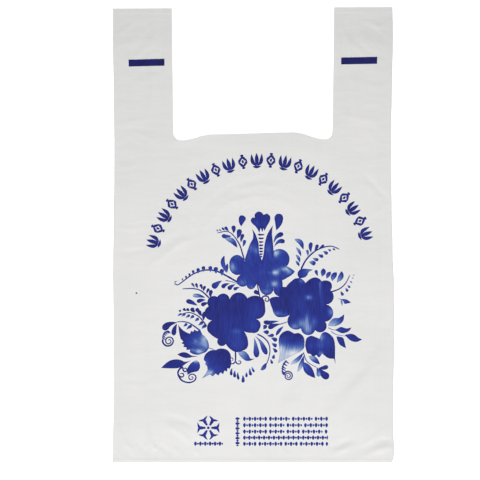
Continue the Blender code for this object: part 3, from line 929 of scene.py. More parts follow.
# Leaves with edges of their own: ink at the root and the tip, one edge to the tip, and the other back,
# each without the point it starts from
EDGED_LEAVES: tuple[tuple[float, float, tuple[Point, ...], tuple[Point, ...]], ...] = (
    (0.97, 0.90, ((180.6, 352.6), (184.2, 352.1), (188.0, 353.2), (191.6, 355.4), (198.6, 356.2)),
     ((192.6, 356.9), (189.6, 357.6), (186.0, 357.9), (182.0, 356.9), (177.2, 354.4))),
    (0.99, 0.90, ((165.0, 363.6), (170.4, 360.2), (175.8, 359.2), (180.6, 359.8),
                  (184.2, 361.5), (187.6, 361.3), (191.2, 360.2)),
     ((187.2, 362.6), (184.6, 364.4), (181.4, 366.6), (177.0, 368.1), (170.0, 368.3), (160.8, 367.8))),
    (0.30, 0.97, ((241.0, 351.2), (244.9, 351.2), (248.4, 354.6), (250.6, 358.4), (254.9, 358.4)),
     ((250.0, 360.6), (245.4, 360.4), (240.8, 356.8), (237.8, 352.8))),
    (0.25, 0.90, ((329.6, 321.4), (333.3, 318.2), (339.0, 317.6), (343.9, 314.1)),
     ((343.1, 320.5), (339.0, 324.5), (333.3, 326.2), (327.6, 325.6))),
    (0.80, 0.92, ((337.6, 328.4), (340.8, 326.8), (346.0, 328.3), (351.1, 327.4)),
     ((348.3, 331.3), (342.6, 333.2), (338.0, 331.6), (334.6, 329.7))),
    (0.86, 0.95, ((350.3, 333.6), (354.8, 335.0), (358.0, 337.6), (361.8, 339.4)),
     ((356.3, 341.8), (350.6, 340.7), (346.4, 337.0), (344.4, 334.8))),
    (0.30, 0.95, ((341.0, 298.9), (345.8, 299.2), (350.8, 302.4)),
     ((347.3, 303.4), (344.2, 303.6), (342.4, 300.6), (336.2, 298.0))),
    (0.88, 0.95, ((342.4, 337.4), (344.2, 341.6), (345.7, 348.1)),
     ((340.2, 345.2), (337.4, 341.0), (336.2, 336.2))),
)

# Slender drops: width, ink at the head, ink at the tail, and the places on their way
COMMAS: tuple[tuple[float, float, float, tuple[Point, ...]], ...] = (
    (4.9, 0.97, 0.60, ((283.4, 233.6), (278.6, 235.4), (275.6, 238.2), (273.6, 243.0))),
    (4.7, 0.97, 0.45, ((284.9, 242.0), (280.6, 241.0), (277.0, 242.8), (274.2, 246.8))),
    (6.3, 0.92, 0.60, ((212.2, 287.6), (215.8, 284.8), (219.0, 282.2), (222.4, 280.6))),
    (4.3, 0.95, 0.75, ((222.0, 288.0), (224.8, 285.0), (230.0, 283.2))),
    (4.6, 0.95, 0.75, ((228.2, 289.5), (230.8, 286.8), (235.4, 284.0))),
    (3.6, 0.92, 0.70, ((233.6, 289.8), (236.2, 288.2), (240.0, 287.0))),
    (6.9, 0.97, 0.94, ((162.9, 329.8), (167.2, 325.2), (172.0, 323.2), (177.4, 322.4))),
    (4.6, 0.97, 0.70, ((263.4, 321.8), (268.4, 322.6), (273.0, 321.8), (279.4, 320.9))),
    (5.0, 0.95, 0.80, ((268.2, 328.2), (272.2, 326.0), (276.0, 324.8), (281.0, 323.6))),
    (6.0, 0.93, 0.40, ((256.8, 357.4), (256.2, 350.4), (255.4, 343.6), (254.2, 337.2))),
    (5.4, 0.90, 0.40, ((266.6, 354.4), (263.8, 348.2), (260.4, 341.4), (255.0, 335.8))),
)

# Stems: width, ink, and the places on their way
STEMS: tuple[tuple[float, float, tuple[Point, ...]], ...] = (
    (1.5, 0.88, ((244.4, 260.0), (242.2, 252.6), (239.4, 244.4), (233.4, 235.4), (226.8, 231.4),
                 (217.0, 233.2))),
    (1.9, 0.92, ((239.6, 283.4), (222.4, 273.5), (213.8, 270.4), (205.2, 270.0), (196.6, 272.4),
                 (189.1, 276.6), (182.6, 281.6), (177.6, 285.0), (174.6, 283.6), (175.2, 281.2),
                 (177.6, 281.0))),
    (1.0, 0.55, ((225.0, 280.4), (231.6, 281.6), (238.8, 284.6))),
    (1.6, 0.90, ((209.4, 298.2), (201.7, 291.1), (193.7, 288.6), (182.2, 288.8))),
    (1.5, 0.92, ((207.0, 326.6), (200.6, 318.1), (194.8, 314.2), (187.9, 312.5), (177.8, 315.4))),
    (1.6, 0.80, ((200.8, 331.0), (190.8, 323.8), (183.9, 321.6), (176.5, 321.8))),
    (1.2, 0.80, ((196.9, 304.8), (190.6, 301.4), (186.4, 301.0))),
    (1.5, 0.92, ((257.4, 281.6), (258.0, 288.0), (259.2, 293.6), (260.2, 298.8))),
    (1.5, 0.85, ((257.2, 333.9), (263.4, 337.3), (268.0, 342.3), (269.9, 349.2), (268.8, 357.4),
                 (266.0, 365.2))),
    (1.6, 0.93, ((235.4, 351.0), (235.6, 356.6), (235.3, 361.4), (233.4, 363.4), (230.6, 363.4),
                 (228.8, 361.0), (229.8, 358.2), (232.2, 357.8), (233.2, 359.6), (231.8, 360.8))),
    (1.5, 0.93, ((235.3, 361.0), (237.4, 363.6), (240.0, 363.6), (241.0, 361.8), (239.6, 360.5),
                 (238.2, 361.6))),
    (1.2, 0.60, ((277.0, 324.6), (282.6, 323.4), (288.4, 321.2))),
    (1.5, 0.92, ((329.6, 292.2), (338.8, 289.0), (345.2, 283.4), (349.8, 274.8))),
    (1.8, 0.90, ((300.8, 269.6), (306.2, 259.6), (314.2, 251.8), (322.6, 247.6), (331.6, 246.2),
                 (339.8, 249.4))),
    (0.9, 0.50, ((327.6, 327.4), (332.0, 329.4), (337.6, 330.4))),
    (0.9, 0.45, ((330.6, 331.0), (336.0, 334.4), (346.0, 336.2))),
    (1.1, 0.70, ((303.2, 352.0), (307.0, 361.4), (316.8, 367.4))),
    (1.1, 0.60, ((205.4, 346.0), (209.4, 348.0), (214.6, 349.4))),
    (1.9, 0.95, ((183.0, 366.4), (179.6, 368.8), (177.6, 372.8), (179.4, 377.6), (182.8, 381.0),
                 (188.6, 382.5), (193.4, 381.3), (195.9, 378.4), (195.4, 375.4), (192.6, 373.8),
                 (189.6, 374.8), (188.5, 377.4), (190.2, 379.6), (192.6, 378.8), (193.2, 377.2),
                 (191.8, 376.2), (190.6, 377.4))),
    (1.8, 0.95, ((182.6, 366.4), (182.9, 369.6), (184.6, 371.6), (186.7, 370.8), (186.6, 368.8),
                 (184.8, 367.9), (183.2, 369.0))),
    (1.8, 0.95, ((178.4, 374.6), (180.0, 376.6), (182.5, 376.7), (183.7, 374.9), (182.4, 373.1),
                 (179.8, 373.6))),
    (1.8, 0.95, ((263.4, 300.9), (261.9, 298.8), (262.8, 296.8), (265.4, 295.8), (268.0, 296.8),
                 (269.0, 299.2), (267.8, 301.3), (265.8, 301.0), (265.0, 299.0), (266.8, 298.4))),
    (1.9, 0.95, ((162.5, 338.8), (162.6, 342.4), (165.0, 345.2), (168.4, 345.9), (171.8, 344.2),
                 (173.2, 340.8), (171.8, 337.9), (168.8, 337.0), (166.0, 338.6), (165.4, 341.4),
                 (167.2, 343.7), (169.8, 343.3), (171.0, 341.0), (169.4, 339.3), (167.8, 340.4))),
)

# Beads along the frond: x, y, width
BEADS: tuple[tuple[float, float, float], ...] = (
    (221.8, 271.6, 4.5), (215.8, 269.6, 4.5), (210.3, 268.4, 4.0), (203.4, 268.4, 3.8), (198.1, 270.2, 3.6),
    (193.1, 271.7, 2.8), (189.4, 274.5, 2.2), (185.9, 276.9, 2.0), (182.4, 279.2, 1.6),
)


def rows_of(table: Iterable[Sequence[float]], make: Callable[..., InkField]) -> list[InkField]:
    """One field for each row of a table."""
    return [make(*row) for row in table]


def drop(hx: float, hy: float, tx: float, ty: float, width: float, head: float, tail: float) -> InkField:
    """A drop of the brush, a little bent as a wrist bends it.

    Args:
        hx: Its head, across the layout grid.
        hy: Its head, down the grid.
        tx: Its tail, across.
        ty: Its tail, down.
        width: Its width.
        head: How thick the ink lies at its head.
        tail: How thick the ink lies at its tail.

    Returns:
        The field of ink.
    """
    lean = 0.07 * (1 if (hx + hy) % 2 < 1 else -1)
    middle = ((hx + tx) / 2 + (ty - hy) * lean, (hy + ty) / 2 - (tx - hx) * lean)
    return brushed(((hx, hy), middle, (tx, ty)), width * 1.06 + 0.25, Profile.DROP, (head, tail))


def pointed(
    rx: float, ry: float, bx: float, by: float, tx: float, ty: float, width: float, root: float, tip: float
) -> InkField:
    """A pointed leaf from its root by its bend to its tip."""
    return brushed(((rx, ry), (bx, by), (tx, ty)), width, Profile.LEAF, (root, tip))


@dataclass(frozen=True)
class Bouquet:
    """The three flowers with their leaves, fronds and curls."""

    def left_flower(self) -> InkField:
        """The dark flower at the left.

        Returns:
            Its field of ink.
        """
        cusps = (
            (208.6, 306.3, 0.42), (217.4, 296.9, 0.36), (229.8, 299.1, 0.36), (247.3, 298.3, 0.15),
            (260.8, 297.0, 0.16), (264.9, 304.6, 0.02), (265.4, 310.0, 0.22), (256.4, 319.0, 0.24),
            (259.8, 328.4, 0.22), (252.0, 332.7, 0.07), (244.2, 331.4, 0.08), (248.2, 343.0, 0.20),
            (243.0, 350.4, 0.10), (234.8, 351.8, 0.08), (225.8, 343.9, 0.50), (217.9, 338.9, 0.05),
            (209.6, 333.2, 0.16), (207.3, 326.0, 0.14), (212.0, 320.3, 0.40),
        )
        washes = (
            Wash(256, 310, 9, 10, 0.11), Wash(253, 326, 7, 7, 0.12), Wash(237, 341, 9, 9, 0.12),
            Wash(236.5, 331.0, 4.5, 2.6, 0.22), Wash(238.5, 296.5, 4, 3, 0.07), Wash(222.5, 298, 3, 3, 0.08),
            Wash(229, 324, 10, 12, 0.06), Wash(213, 311, 7, 9, -0.02),
        )
        return scalloped(cusps, ((238, 292), (238, 352)), (0.98, 0.95), washes)

    def right_flower(self) -> InkField:
        """The flower at the right, pale at its foot.

        Returns:
            Its field of ink.
        """
        cusps = (
            (279.0, 296.6, 0.14), (281.7, 286.6, 0.0), (286.0, 287.0, 0.06), (291.8, 280.8, 0.28),
            (305.3, 283.0, 0.05), (311.0, 278.5, 0.22), (321.4, 281.2, 0.10), (328.2, 280.8, 0.18),
            (331.8, 286.4, 0.10), (330.3, 290.3, 0.36), (325.9, 304.4, 0.44), (325.0, 321.6, 0.50),
            (315.0, 330.0, 0.42), (300.9, 328.1, 0.46), (290.1, 314.6, 0.10), (277.2, 316.8, 0.12),
            (272.6, 309.6, 0.02), (269.3, 300.0, 0.14), (272.4, 297.2, 0.04),
        )
        washes = (
            Wash(308.6, 297.4, 3.2, 2.4, 0.52), Wash(320.2, 286.0, 0.9, 6.0, 0.40),
            Wash(322.0, 300.0, 1.2, 8.0, 0.14), Wash(301.6, 280.6, 2.6, 2.8, 0.36),
            Wash(276.0, 313.6, 5.5, 2.6, 0.42), Wash(285.0, 314.8, 4.0, 1.8, 0.22),
            Wash(294.4, 326.6, 5.0, 3.6, 0.42), Wash(302.6, 322.6, 5.0, 4.4, 0.36),
            Wash(307.6, 328.4, 4.6, 6.4, 0.52), Wash(307.0, 317.0, 2.2, 5.0, 0.34),
            Wash(331.2, 311.6, 3.0, 4.4, 0.46), Wash(314.0, 322.0, 3.0, 5.0, 0.20),
            Wash(300.0, 306.0, 5.0, 9.0, 0.06), Wash(286.0, 303.0, 8.0, 9.0, -0.03),
        )
        return scalloped(cusps, ((303, 277), (305, 335)), (0.95, 0.93), washes)

    def top_flower(self) -> InkField:
        """The lighter flower at the top, under the horns.

        Returns:
            Its field of ink.
        """
        cusps = (
            (244.8, 261.2, 0.0), (261.8, 260.4, 0.0), (273.0, 251.2, 0.47), (286.7, 266.2, 0.05),
            (294.8, 271.6, 0.07), (288.0, 277.2, 0.04), (282.2, 280.3, 0.04), (282.6, 287.0, 0.10),
            (279.0, 296.4, 0.22), (273.8, 287.2, 0.20), (267.4, 295.2, 0.18), (259.6, 288.8, 0.03),
            (257.7, 281.6, 0.04), (254.8, 287.2, 0.12), (250.6, 289.4, 0.15), (246.5, 285.4, 0.50),
            (238.9, 276.0, 0.0), (240.4, 274.6, 0.03), (236.4, 275.0, 0.20), (229.4, 264.8, 0.21),
            (236.8, 254.8, 0.09), (241.8, 256.8, 0.05),
        )
        washes = (
            Wash(275.8, 253.2, 3.2, 4.0, 0.66), Wash(281.0, 251.2, 5.0, 3.0, 0.18),
            Wash(232.2, 267.0, 3.4, 5.0, 0.50), Wash(285.4, 268.8, 4.6, 2.4, 0.66),
            Wash(289.0, 272.2, 3.4, 2.4, 0.38), Wash(275.6, 272.4, 3.3, 3.2, 0.64),
            Wash(272.0, 272.6, 4.4, 1.4, 0.18), Wash(274.6, 284.0, 3.2, 3.2, 0.56),
            Wash(266.6, 291.6, 6.0, 2.2, 0.30), Wash(267.8, 286.6, 1.2, 3.4, 0.20),
            Wash(251.6, 287.6, 4.4, 3.0, 0.24), Wash(242.0, 282.6, 4.0, 3.4, 0.26),
            Wash(260.8, 272.4, 0.9, 3.0, 0.18), Wash(263.6, 272.0, 0.8, 3.0, 0.14),
            Wash(238.0, 256.6, 5.0, 3.0, 0.16),
        )
        return scalloped(cusps, ((250, 252), (262, 296)), (0.88, 0.84), washes)

    def horns(self) -> list[InkField]:
        """The two horned petals that stand up out of the top flower.

        Returns:
            The left one and the right one.
        """
        left = contour(
            (((246.6, 253.6), (249.8, 244.4), (253.2, 237.4), (252.2, 229.0)),
             ((255.4, 234.0), (258.4, 242.6), (259.2, 252.6), (261.8, 260.4)),
             ((254.0, 268.0), (244.4, 260.4))),
            ((253, 230), (253, 266)), (0.92, 0.86),
            (Wash(252.6, 248.6, 4.6, 4.6, 0.24), Wash(256.6, 250.6, 2.2, 3.0, 0.20),
             Wash(248.6, 256.0, 2.0, 5.0, 0.10)),
            rim=0.02,
        )
        right = contour(
            (((263.6, 253.6), (264.7, 243.6), (267.6, 233.6), (272.8, 225.4)),
             ((272.0, 234.0), (273.0, 243.4), (273.6, 252.6), (273.4, 258.6)),
             ((267.0, 266.0), (261.8, 260.4))),
            ((270, 228), (267, 264)), (0.94, 0.88),
            (Wash(268.6, 248.4, 3.0, 5.6, 0.24), Wash(270.8, 256.0, 2.2, 4.0, 0.12)), rim=0.02,
        )
        return [left, right]

    def crown(self) -> list[InkField]:
        """The three-lobed crown over the horns, with its short tails, and the ladder under it.

        Returns:
            The crown's field and one for each rung.
        """
        fields = [contour(
            (((257.8, 229.8), (255.8, 226.8), (252.2, 223.4), (250.7, 220.4), (252.4, 217.6),
              (254.9, 217.9)),
             ((254.7, 214.4), (258.0, 211.6), (261.8, 212.6), (263.5, 215.0)),
             ((266.9, 213.7), (270.2, 216.6), (269.6, 221.4), (267.2, 225.6), (264.5, 231.0)),
             ((263.5, 228.2),), ((262.3, 232.2),), ((260.7, 228.0),),
             ((259.3, 233.0),)),
            ((261, 212), (261, 230)), (0.93, 0.90), (Wash(256.8, 222.6, 1.4, 2.4, 0.14),))]
        for y, width in (
            (234.5, 6.8), (238.2, 5.6), (241.8, 4.6), (245.1, 4.2),
            (248.3, 4.0), (251.2, 3.7), (253.9, 2.7), (256.4, 2.2),
        ):
            way = ((261.2 - width / 2, y), (261.2, y + 0.3), (261.2 + width / 2, y - 0.1))
            fields.append(brushed(way, 2.2, Profile.STEM, (0.95, 0.95), rim=0.0))
        return fields

    def toothed_leaves(self) -> list[InkField]:
        """The broad leaves, toothed along one side and pale along the other.

        Returns:
            Both leaves' fields, and the bud's between them.
        """
        first = scalloped(
            ((178.2, 324.6, -0.10), (190.0, 333.6, 0.0), (190.8, 330.8, 0.0), (193.4, 331.6, 0.0),
             (194.4, 329.4, 0.0), (197.2, 331.2, 0.0), (199.4, 329.4, 0.04), (202.4, 334.6, 0.10),
             (208.8, 343.8, 0.22), (202.2, 353.4, 0.16), (189.6, 351.8, 0.0),
             (190.4, 349.6, 0.0), (186.2, 349.8, 0.0), (186.6, 347.4, 0.0), (183.0, 346.6, 0.0),
             (184.2, 344.6, 0.0), (181.2, 343.0, 0.0), (183.2, 341.4, 0.0), (180.6, 338.8, 0.03)),
            ((180, 332), (209, 345)), (0.97, 0.72),
            (Wash(204.6, 338.6, 4.4, 4.8, 0.52), Wash(206.4, 345.6, 3.2, 3.0, 0.26),
             Wash(199.4, 351.4, 4.0, 2.6, 0.56), Wash(195.4, 341.2, 2.4, 2.6, 0.34),
             Wash(200.4, 344.4, 4.0, 2.4, 0.20), Wash(192.0, 349.6, 3.0, 1.8, 0.24)),
        )
        second = scalloped(
            ((204.0, 357.4, 0.20), (216.0, 350.0, 0.10), (222.4, 348.4, 0.24), (230.8, 358.6, 0.12),
             (229.4, 368.8, 0.0), (227.6, 367.8, 0.0), (227.0, 371.6, 0.0), (224.6, 370.4, 0.0),
             (223.2, 374.0, 0.0), (220.4, 372.2, 0.0), (218.4, 375.4, 0.0), (215.4, 373.4, 0.0),
             (212.8, 376.2, 0.0), (209.8, 374.4, 0.0), (202.0, 378.2, 0.0), (205.4, 374.0, 0.0),
             (207.6, 369.6, 0.0), (207.2, 366.4, 0.0), (205.0, 363.8, 0.0), (206.0, 362.0, 0.0),
             (203.8, 360.0, 0.0)),
            ((226, 352), (205, 376)), (0.99, 0.80),
            (Wash(210.4, 372.4, 3.4, 3.0, 0.50), Wash(205.0, 375.0, 4.4, 3.6, 0.52),
             Wash(205.8, 365.0, 1.8, 5.0, 0.40)),
        )
        bud = contour(
            (((187.2, 368.6), (191.0, 363.0), (196.0, 360.0)),
             ((199.2, 362.4), (200.0, 367.2), (197.6, 371.0), (191.8, 372.4), (187.4, 374.8))),
            ((188, 374), (197, 360)), (0.97, 0.80), (Wash(196.2, 361.0, 2.6, 1.8, 0.62),),
        )
        return [first, second, bud]

    def half_leaves(self) -> list[InkField]:
        """The two broad half leaves under the right flower.

        Returns:
            The left one and the right one.
        """
        left = contour(
            (((279.6, 353.6), (278.6, 340.6), (281.0, 333.8), (287.6, 330.4), (294.2, 333.4)),
             ((299.0, 333.0), (303.6, 337.0), (304.4, 343.4), (303.0, 349.2), (294.0, 354.6),
              (286.2, 358.6), (277.6, 363.4))),
            ((291, 331), (288, 360)), (1.0, 0.20),
            (Wash(280.6, 348.0, 3.0, 5.0, 0.30), Wash(292.0, 342.0, 7.0, 3.8, -0.16),
             Wash(294.0, 352.4, 9.0, 3.4, 0.26)),
        )
        right = contour(
            (((306.2, 338.6), (310.8, 335.6), (315.4, 337.0), (319.4, 338.6)),
             ((321.4, 333.8), (325.4, 331.8), (331.6, 335.8), (334.6, 343.0), (334.8, 358.4)),
             ((335.3, 363.6), (333.8, 358.6)),
             ((328.0, 358.0), (322.0, 353.4)),
             ((319.0, 357.2), (316.2, 354.8)),
             ((313.0, 356.4), (310.4, 353.8)),
             ((307.0, 352.6), (305.0, 345.6))),
            ((320, 333), (320, 358)), (0.92, 0.95),
            (Wash(321.4, 337.0, 3.4, 3.6, 0.50), Wash(320.6, 345.0, 4.4, 4.0, 0.22),
             Wash(310.8, 346.0, 3.0, 3.4, 0.12), Wash(321.0, 353.4, 2.6, 2.4, 0.46),
             Wash(327.6, 341.4, 2.6, 5.0, 0.08)),
        )
        return [left, right]

    def winged_bud(self) -> InkField:
        """The bud with its wing, over the right flower."""
        return contour(
            (((297.4, 274.0), (299.4, 270.0), (304.0, 268.6), (313.0, 269.6)),
             ((308.6, 272.2), (307.4, 275.0)),
             ((305.4, 277.0), (303.6, 277.6), (299.2, 278.6))),
            ((299, 274), (313, 270)), (0.92, 0.55), (Wash(309.0, 270.4, 3.0, 1.4, 0.14),),
        )

    def combs(self) -> list[InkField]:
        """The spines that lead into the two large curls, with their short ticks.

        Returns:
            Each spine with its ticks after it.
        """
        fields, ticks = [], 6
        for spine, (reach_x, reach_y) in (
            (((169.2, 331.0), (165.6, 331.8), (163.2, 334.6), (162.5, 339.2)), (2.8, 2.3)),
            (((286.6, 360.2), (283.8, 363.6), (282.5, 367.6), (282.3, 371.4), (283.4, 374.8)), (3.7, 2.4)),
        ):
            fields.append(brushed(spine, 1.7, Profile.STEM, (0.95, 0.95), rim=0.0))
            line = eased(spine, 8)
            for i in range(ticks):
                x, y = line[round((i + 0.7) / (ticks + 0.4) * (len(line) - 1))]
                way = ((x - 0.35 * reach_x, y - 0.35 * reach_y), (x + reach_x, y + reach_y))
                fields.append(brushed(way, 1.5, Profile.LEAF, (0.95, 0.75), rim=0.0))
        return fields

    def beads(self) -> list[InkField]:
        """The beads along the upper left frond, each with a pale point under its stem.

        Returns:
            One field for each bead.
        """
        fields = []
        for x, y, width in BEADS:
            way = ((x - 0.2, y - width * 0.62), (x + 0.1, y), (x + 0.2, y + width * 0.95))
            fields.append(brushed(way, width, Profile.DROP, (0.95, 0.55)))
        return fields

    def fields(self) -> list[InkField]:
        """Every field of the bouquet, the lower ones first.

        Returns:
            The fields in the order they are laid.
        """
        fields = [
            brushed(way, width, Profile.STEM, (ink * 1.07, ink * 1.03), rim=0.0) for width, ink, way in STEMS
        ]
        fields.append(spiral((288.2, 375.8), 5.0, 2.3, 190.0, 1.5))
        fields += self.beads() + self.combs()
        fields += rows_of(DROPS, drop) + rows_of(LEAVES, pointed)
        fields += [brushed(way, width, Profile.COMMA, (head, tail)) for width, head, tail, way in COMMAS]
        fields += [
            contour((out, back), (back[-1], out[-1]), (root, tip)) for root, tip, out, back in EDGED_LEAVES
        ]
        fields += self.toothed_leaves() + self.half_leaves()
        fields += [self.winged_bud(), self.top_flower()]
        fields += self.horns() + self.crown()
        crease = ((320.0, 281.8), (319.9, 289.0), (320.4, 303.0))
        return fields + [
            self.left_flower(), self.right_flower(), brushed(crease, 1.7, Profile.STEM, (0.60, 0.86), rim=0.0)
        ]


@dataclass(frozen=True)
class Arch:
    """The row of motifs that arches over the bouquet, tulips and lozenges by turns."""

    centre: Point = (260.9, 272.5)
    radius: float = 112.2
    half_span: float = 72.0
    turn: float = -2.1
    motifs: int = 21
    ink: float = 0.96

    def fields(self) -> list[InkField]:
        """Every motif's fields.

        Returns:
            The fields from left to right.
        """
        fields = []
        for i in range(self.motifs):
            lean = math.radians(self.half_span * (2 * i / (self.motifs - 1) - 1) + self.turn)
            fields += self.tulip(lean) if i % 2 == 0 else self.lozenge(lean)
        return fields

    def spot(self, lean: float, across: float, up: float) -> Point:
        """A place on a motif: across it and up it from its middle, in layout units.

        Args:
            lean: How far the motif is turned round the arch, in radians.
            across: Across the motif from its middle, in layout units.
            up: Up the motif from its middle.

        Returns:
            The place on the layout grid.
        """
        reach = self.radius + up
        x = self.centre[0] + reach * math.sin(lean) + across * math.cos(lean)
        return x, self.centre[1] - reach * math.cos(lean) + across * math.sin(lean)

    def stroke(self, lean: float, way: Sequence[Point], width: float, profile: Profile) -> InkField:
        """One stroke of a motif."""
        places = [self.spot(lean, across, up) for across, up in way]
        return brushed(places, width, profile, (self.ink, self.ink), rim=0.03)

    def tulip(self, lean: float) -> list[InkField]:
        """Three petals on a foot bar.

        Args:
            lean: How far the motif is turned round the arch, in radians.

        Returns:
            A field for each stroke.
        """
        strokes = [self.stroke(lean, ((0, -5.8), (0, 0), (0, 7.4)), 4.0, Profile.LEAF)]
        for side in (-1, 1):
            petal = ((side * 0.6, -5.6), (side * 4.2, -1.4), (side * 5.2, 6.4))
            strokes.append(self.stroke(lean, petal, 3.6, Profile.LEAF))
        strokes.append(self.stroke(lean, ((-4.4, -6.0), (0, -6.8), (4.4, -6.0)), 2.6, Profile.LEAF))
        return strokes

    def lozenge(self, lean: float) -> list[InkField]:
        """A lozenge ring round a dot, with a drop over it and under it.

        Args:
            lean: How far the motif is turned round the arch, in radians.

        Returns:
            A field for each stroke.
        """
        corners = ((0, 5.0), (4.3, 0), (0, -5.0), (-4.3, 0))
        strokes = []
        for (ax, ay), (bx, by) in zip(corners, corners[1:] + corners[:1]):
            strokes.append(self.stroke(lean, ((ax, ay), (bx, by)), 3.0, Profile.STEM))
        strokes.append(self.stroke(lean, ((0, 1.9), (0, -1.9)), 2.4, Profile.LEAF))
        strokes.append(self.stroke(lean, ((0, 7.4), (0, 4.2)), 3.4, Profile.DROP))
        strokes.append(self.stroke(lean, ((0, -7.4), (0, -4.2)), 3.4, Profile.DROP))
        return strokes


@dataclass(frozen=True)
class FootOrnament:
    """The rosette over its band, and the five rows of small ornament beside their strip."""

    rosette: Point = (208.4, 427.6)
    petals: int = 6
    rows: tuple[float, ...] = (418.7, 425.1, 431.5, 437.6, 443.8)
    row_ends: Point = (243.0, 328.0)
    strip: tuple[float, float, float] = (237.6, 417.0, 446.2)
    broad: float = 2.9
    narrow: float = 1.9
    group_gap: float = 1.6
    ink: float = 0.90

    def fields(self) -> list[InkField]:
        """Every field of the ornament.

        Returns:
            The fields in the order they are laid.
        """
        chance = random.Random(11)
        fields = self.rosette_fields()
        fields += self.band(chance, 194.0, 223.0, 443.6, 4.8, tight=True)
        for number, y in enumerate(self.rows):
            fields += self.band(chance, *self.row_ends, y, 4.7, tight=number == 3)
        x, top, bottom = self.strip
        fields += self.band(chance, top, bottom, x, 4.9, tight=True, upright=True)
        return fields

    def rosette_fields(self) -> list[InkField]:
        """Six looped petals round a dot.

        Returns:
            Two fields for each petal, and the dot's.
        """
        x, y = self.rosette
        fields = []
        for i in range(self.petals):
            lean = 2 * math.pi * (i + 0.5) / self.petals
            out = (math.cos(lean), math.sin(lean))
            aside = (-out[1], out[0])
            for side in (-1, 1):
                way = []
                for reach, bulge in ((2.4, 0.5), (7.2, 4.2), (12.2, 0.8)):
                    across = x + out[0] * reach + aside[0] * side * bulge
                    way.append((across, y + out[1] * reach + aside[1] * side * bulge))
                fields.append(brushed(way, 2.9, Profile.LEAF, (self.ink, self.ink), rim=0.0))
        fields.append(brushed(((x - 1.6, y), (x + 1.6, y)), 3.0, Profile.LEAF, (self.ink, self.ink), rim=0.0))
        return fields

    def band(
        self, chance: random.Random, begins: float, ends: float, level: float, height: float,
        tight: bool = False, upright: bool = False,
    ) -> list[InkField]:
        """A row of lozenges and dots by turns, set in groups.

        Args:
            chance: Where the row's order comes from.
            begins: Where it begins.
            ends: Where it ends.
            level: The line that it runs along.
            height: Its height.
            tight: Whether the motifs stand closer together.
            upright: Whether it runs down the grid and not across it.

        Returns:
            Its fields.
        """
        fields = []
        place, left, broad = begins, chance.randint(5, 9), True
        while place < ends - 1.0:
            width = min(self.broad if broad else self.narrow, ends - place)
            middle = place + width / 2
            reach = height / 2 if broad else height * 0.28
            way = ((middle, level - reach), (middle, level + reach))
            places = [(y, x) for x, y in way] if upright else list(way)
            fields.append(brushed(places, width, Profile.LEAF, (self.ink, self.ink), rim=0.0))
            left, broad = left - 1, not broad
            place += width + (0.05 if tight else 0.25)
            if left == 0 and not tight:
                place, left, broad = place + self.group_gap, chance.randint(5, 9), True
        return fields


@dataclass(frozen=True)
class HandleBars:
    """The bar printed across each handle."""

    ends: tuple[tuple[float, float, float, float], ...] = (
        (128.2, 62.5, 164.4, 61.8), (341.4, 61.6, 377.8, 61.2),
    )
    height: float = 7.0
    steps: int = 12

    def fields(self) -> list[InkField]:
        """Both bars.

        Returns:
            A field for each.
        """
        fields = []
        for x0, y0, x1, y1 in self.ends:
            half, count = self.height / 2, self.steps
            upper = [
                (x0 + (x1 - x0) * i / count, y0 + (y1 - y0) * i / count - half) for i in range(count + 1)
            ]
            lower = [(x, y + 2 * half) for x, y in reversed(upper)]
            fields.append(InkField(tuple(upper + lower), (x0, y0), (x1, y1), 1.0, 1.0, 0.03))
        return fields


@dataclass(frozen=True)
class Speck:
    """The small dark speck on the film at the left."""

    place: Point = (136.0, 293.0)

    def fields(self) -> list[InkField]:
        """The speck as a field.

        Returns:
            Its one field.
        """
        x, y = self.place
        way = ((x - 0.7, y - 0.3), (x, y), (x + 0.9, y + 0.6))
        return [brushed(way, 2.1, Profile.LEAF, (0.78, 0.78), rim=0.0)]


@dataclass(frozen=True)
class Print:
    """All that is printed on the front."""

    parts: tuple[Bouquet | Arch | FootOrnament | HandleBars | Speck, ...] = (
        HandleBars(), Arch(), FootOrnament(), Speck(), Bouquet(),
    )

    def fields(self) -> list[InkField]:
        """Every field of ink, the lower ones first.

        Returns:
            The fields in the order they are laid.
        """
        fields = [each for part in self.parts for each in part.fields()]
        log.info("print: %d fields of ink", len(fields))
        return fields


def inside(outline: Sequence[Point], x: float, y: float) -> bool:
    """Whether a place lies within a closed outline.

    Args:
        outline: The outline's points.
        x: The place's first measure, on whatever grid the outline is.
        y: Its second one.

    Returns:
        True where it does.
    """
    within = False
    for (ax, ay), (bx, by) in zip(outline, list(outline[1:]) + [outline[0]]):
        if (ay > y) != (by > y) and x < ax + (y - ay) * (bx - ax) / (by - ay):
            within = not within
    return within


# How far apart the rows of a staggered lattice lie, in shares of its spacing
ROW_RISE = 0.866


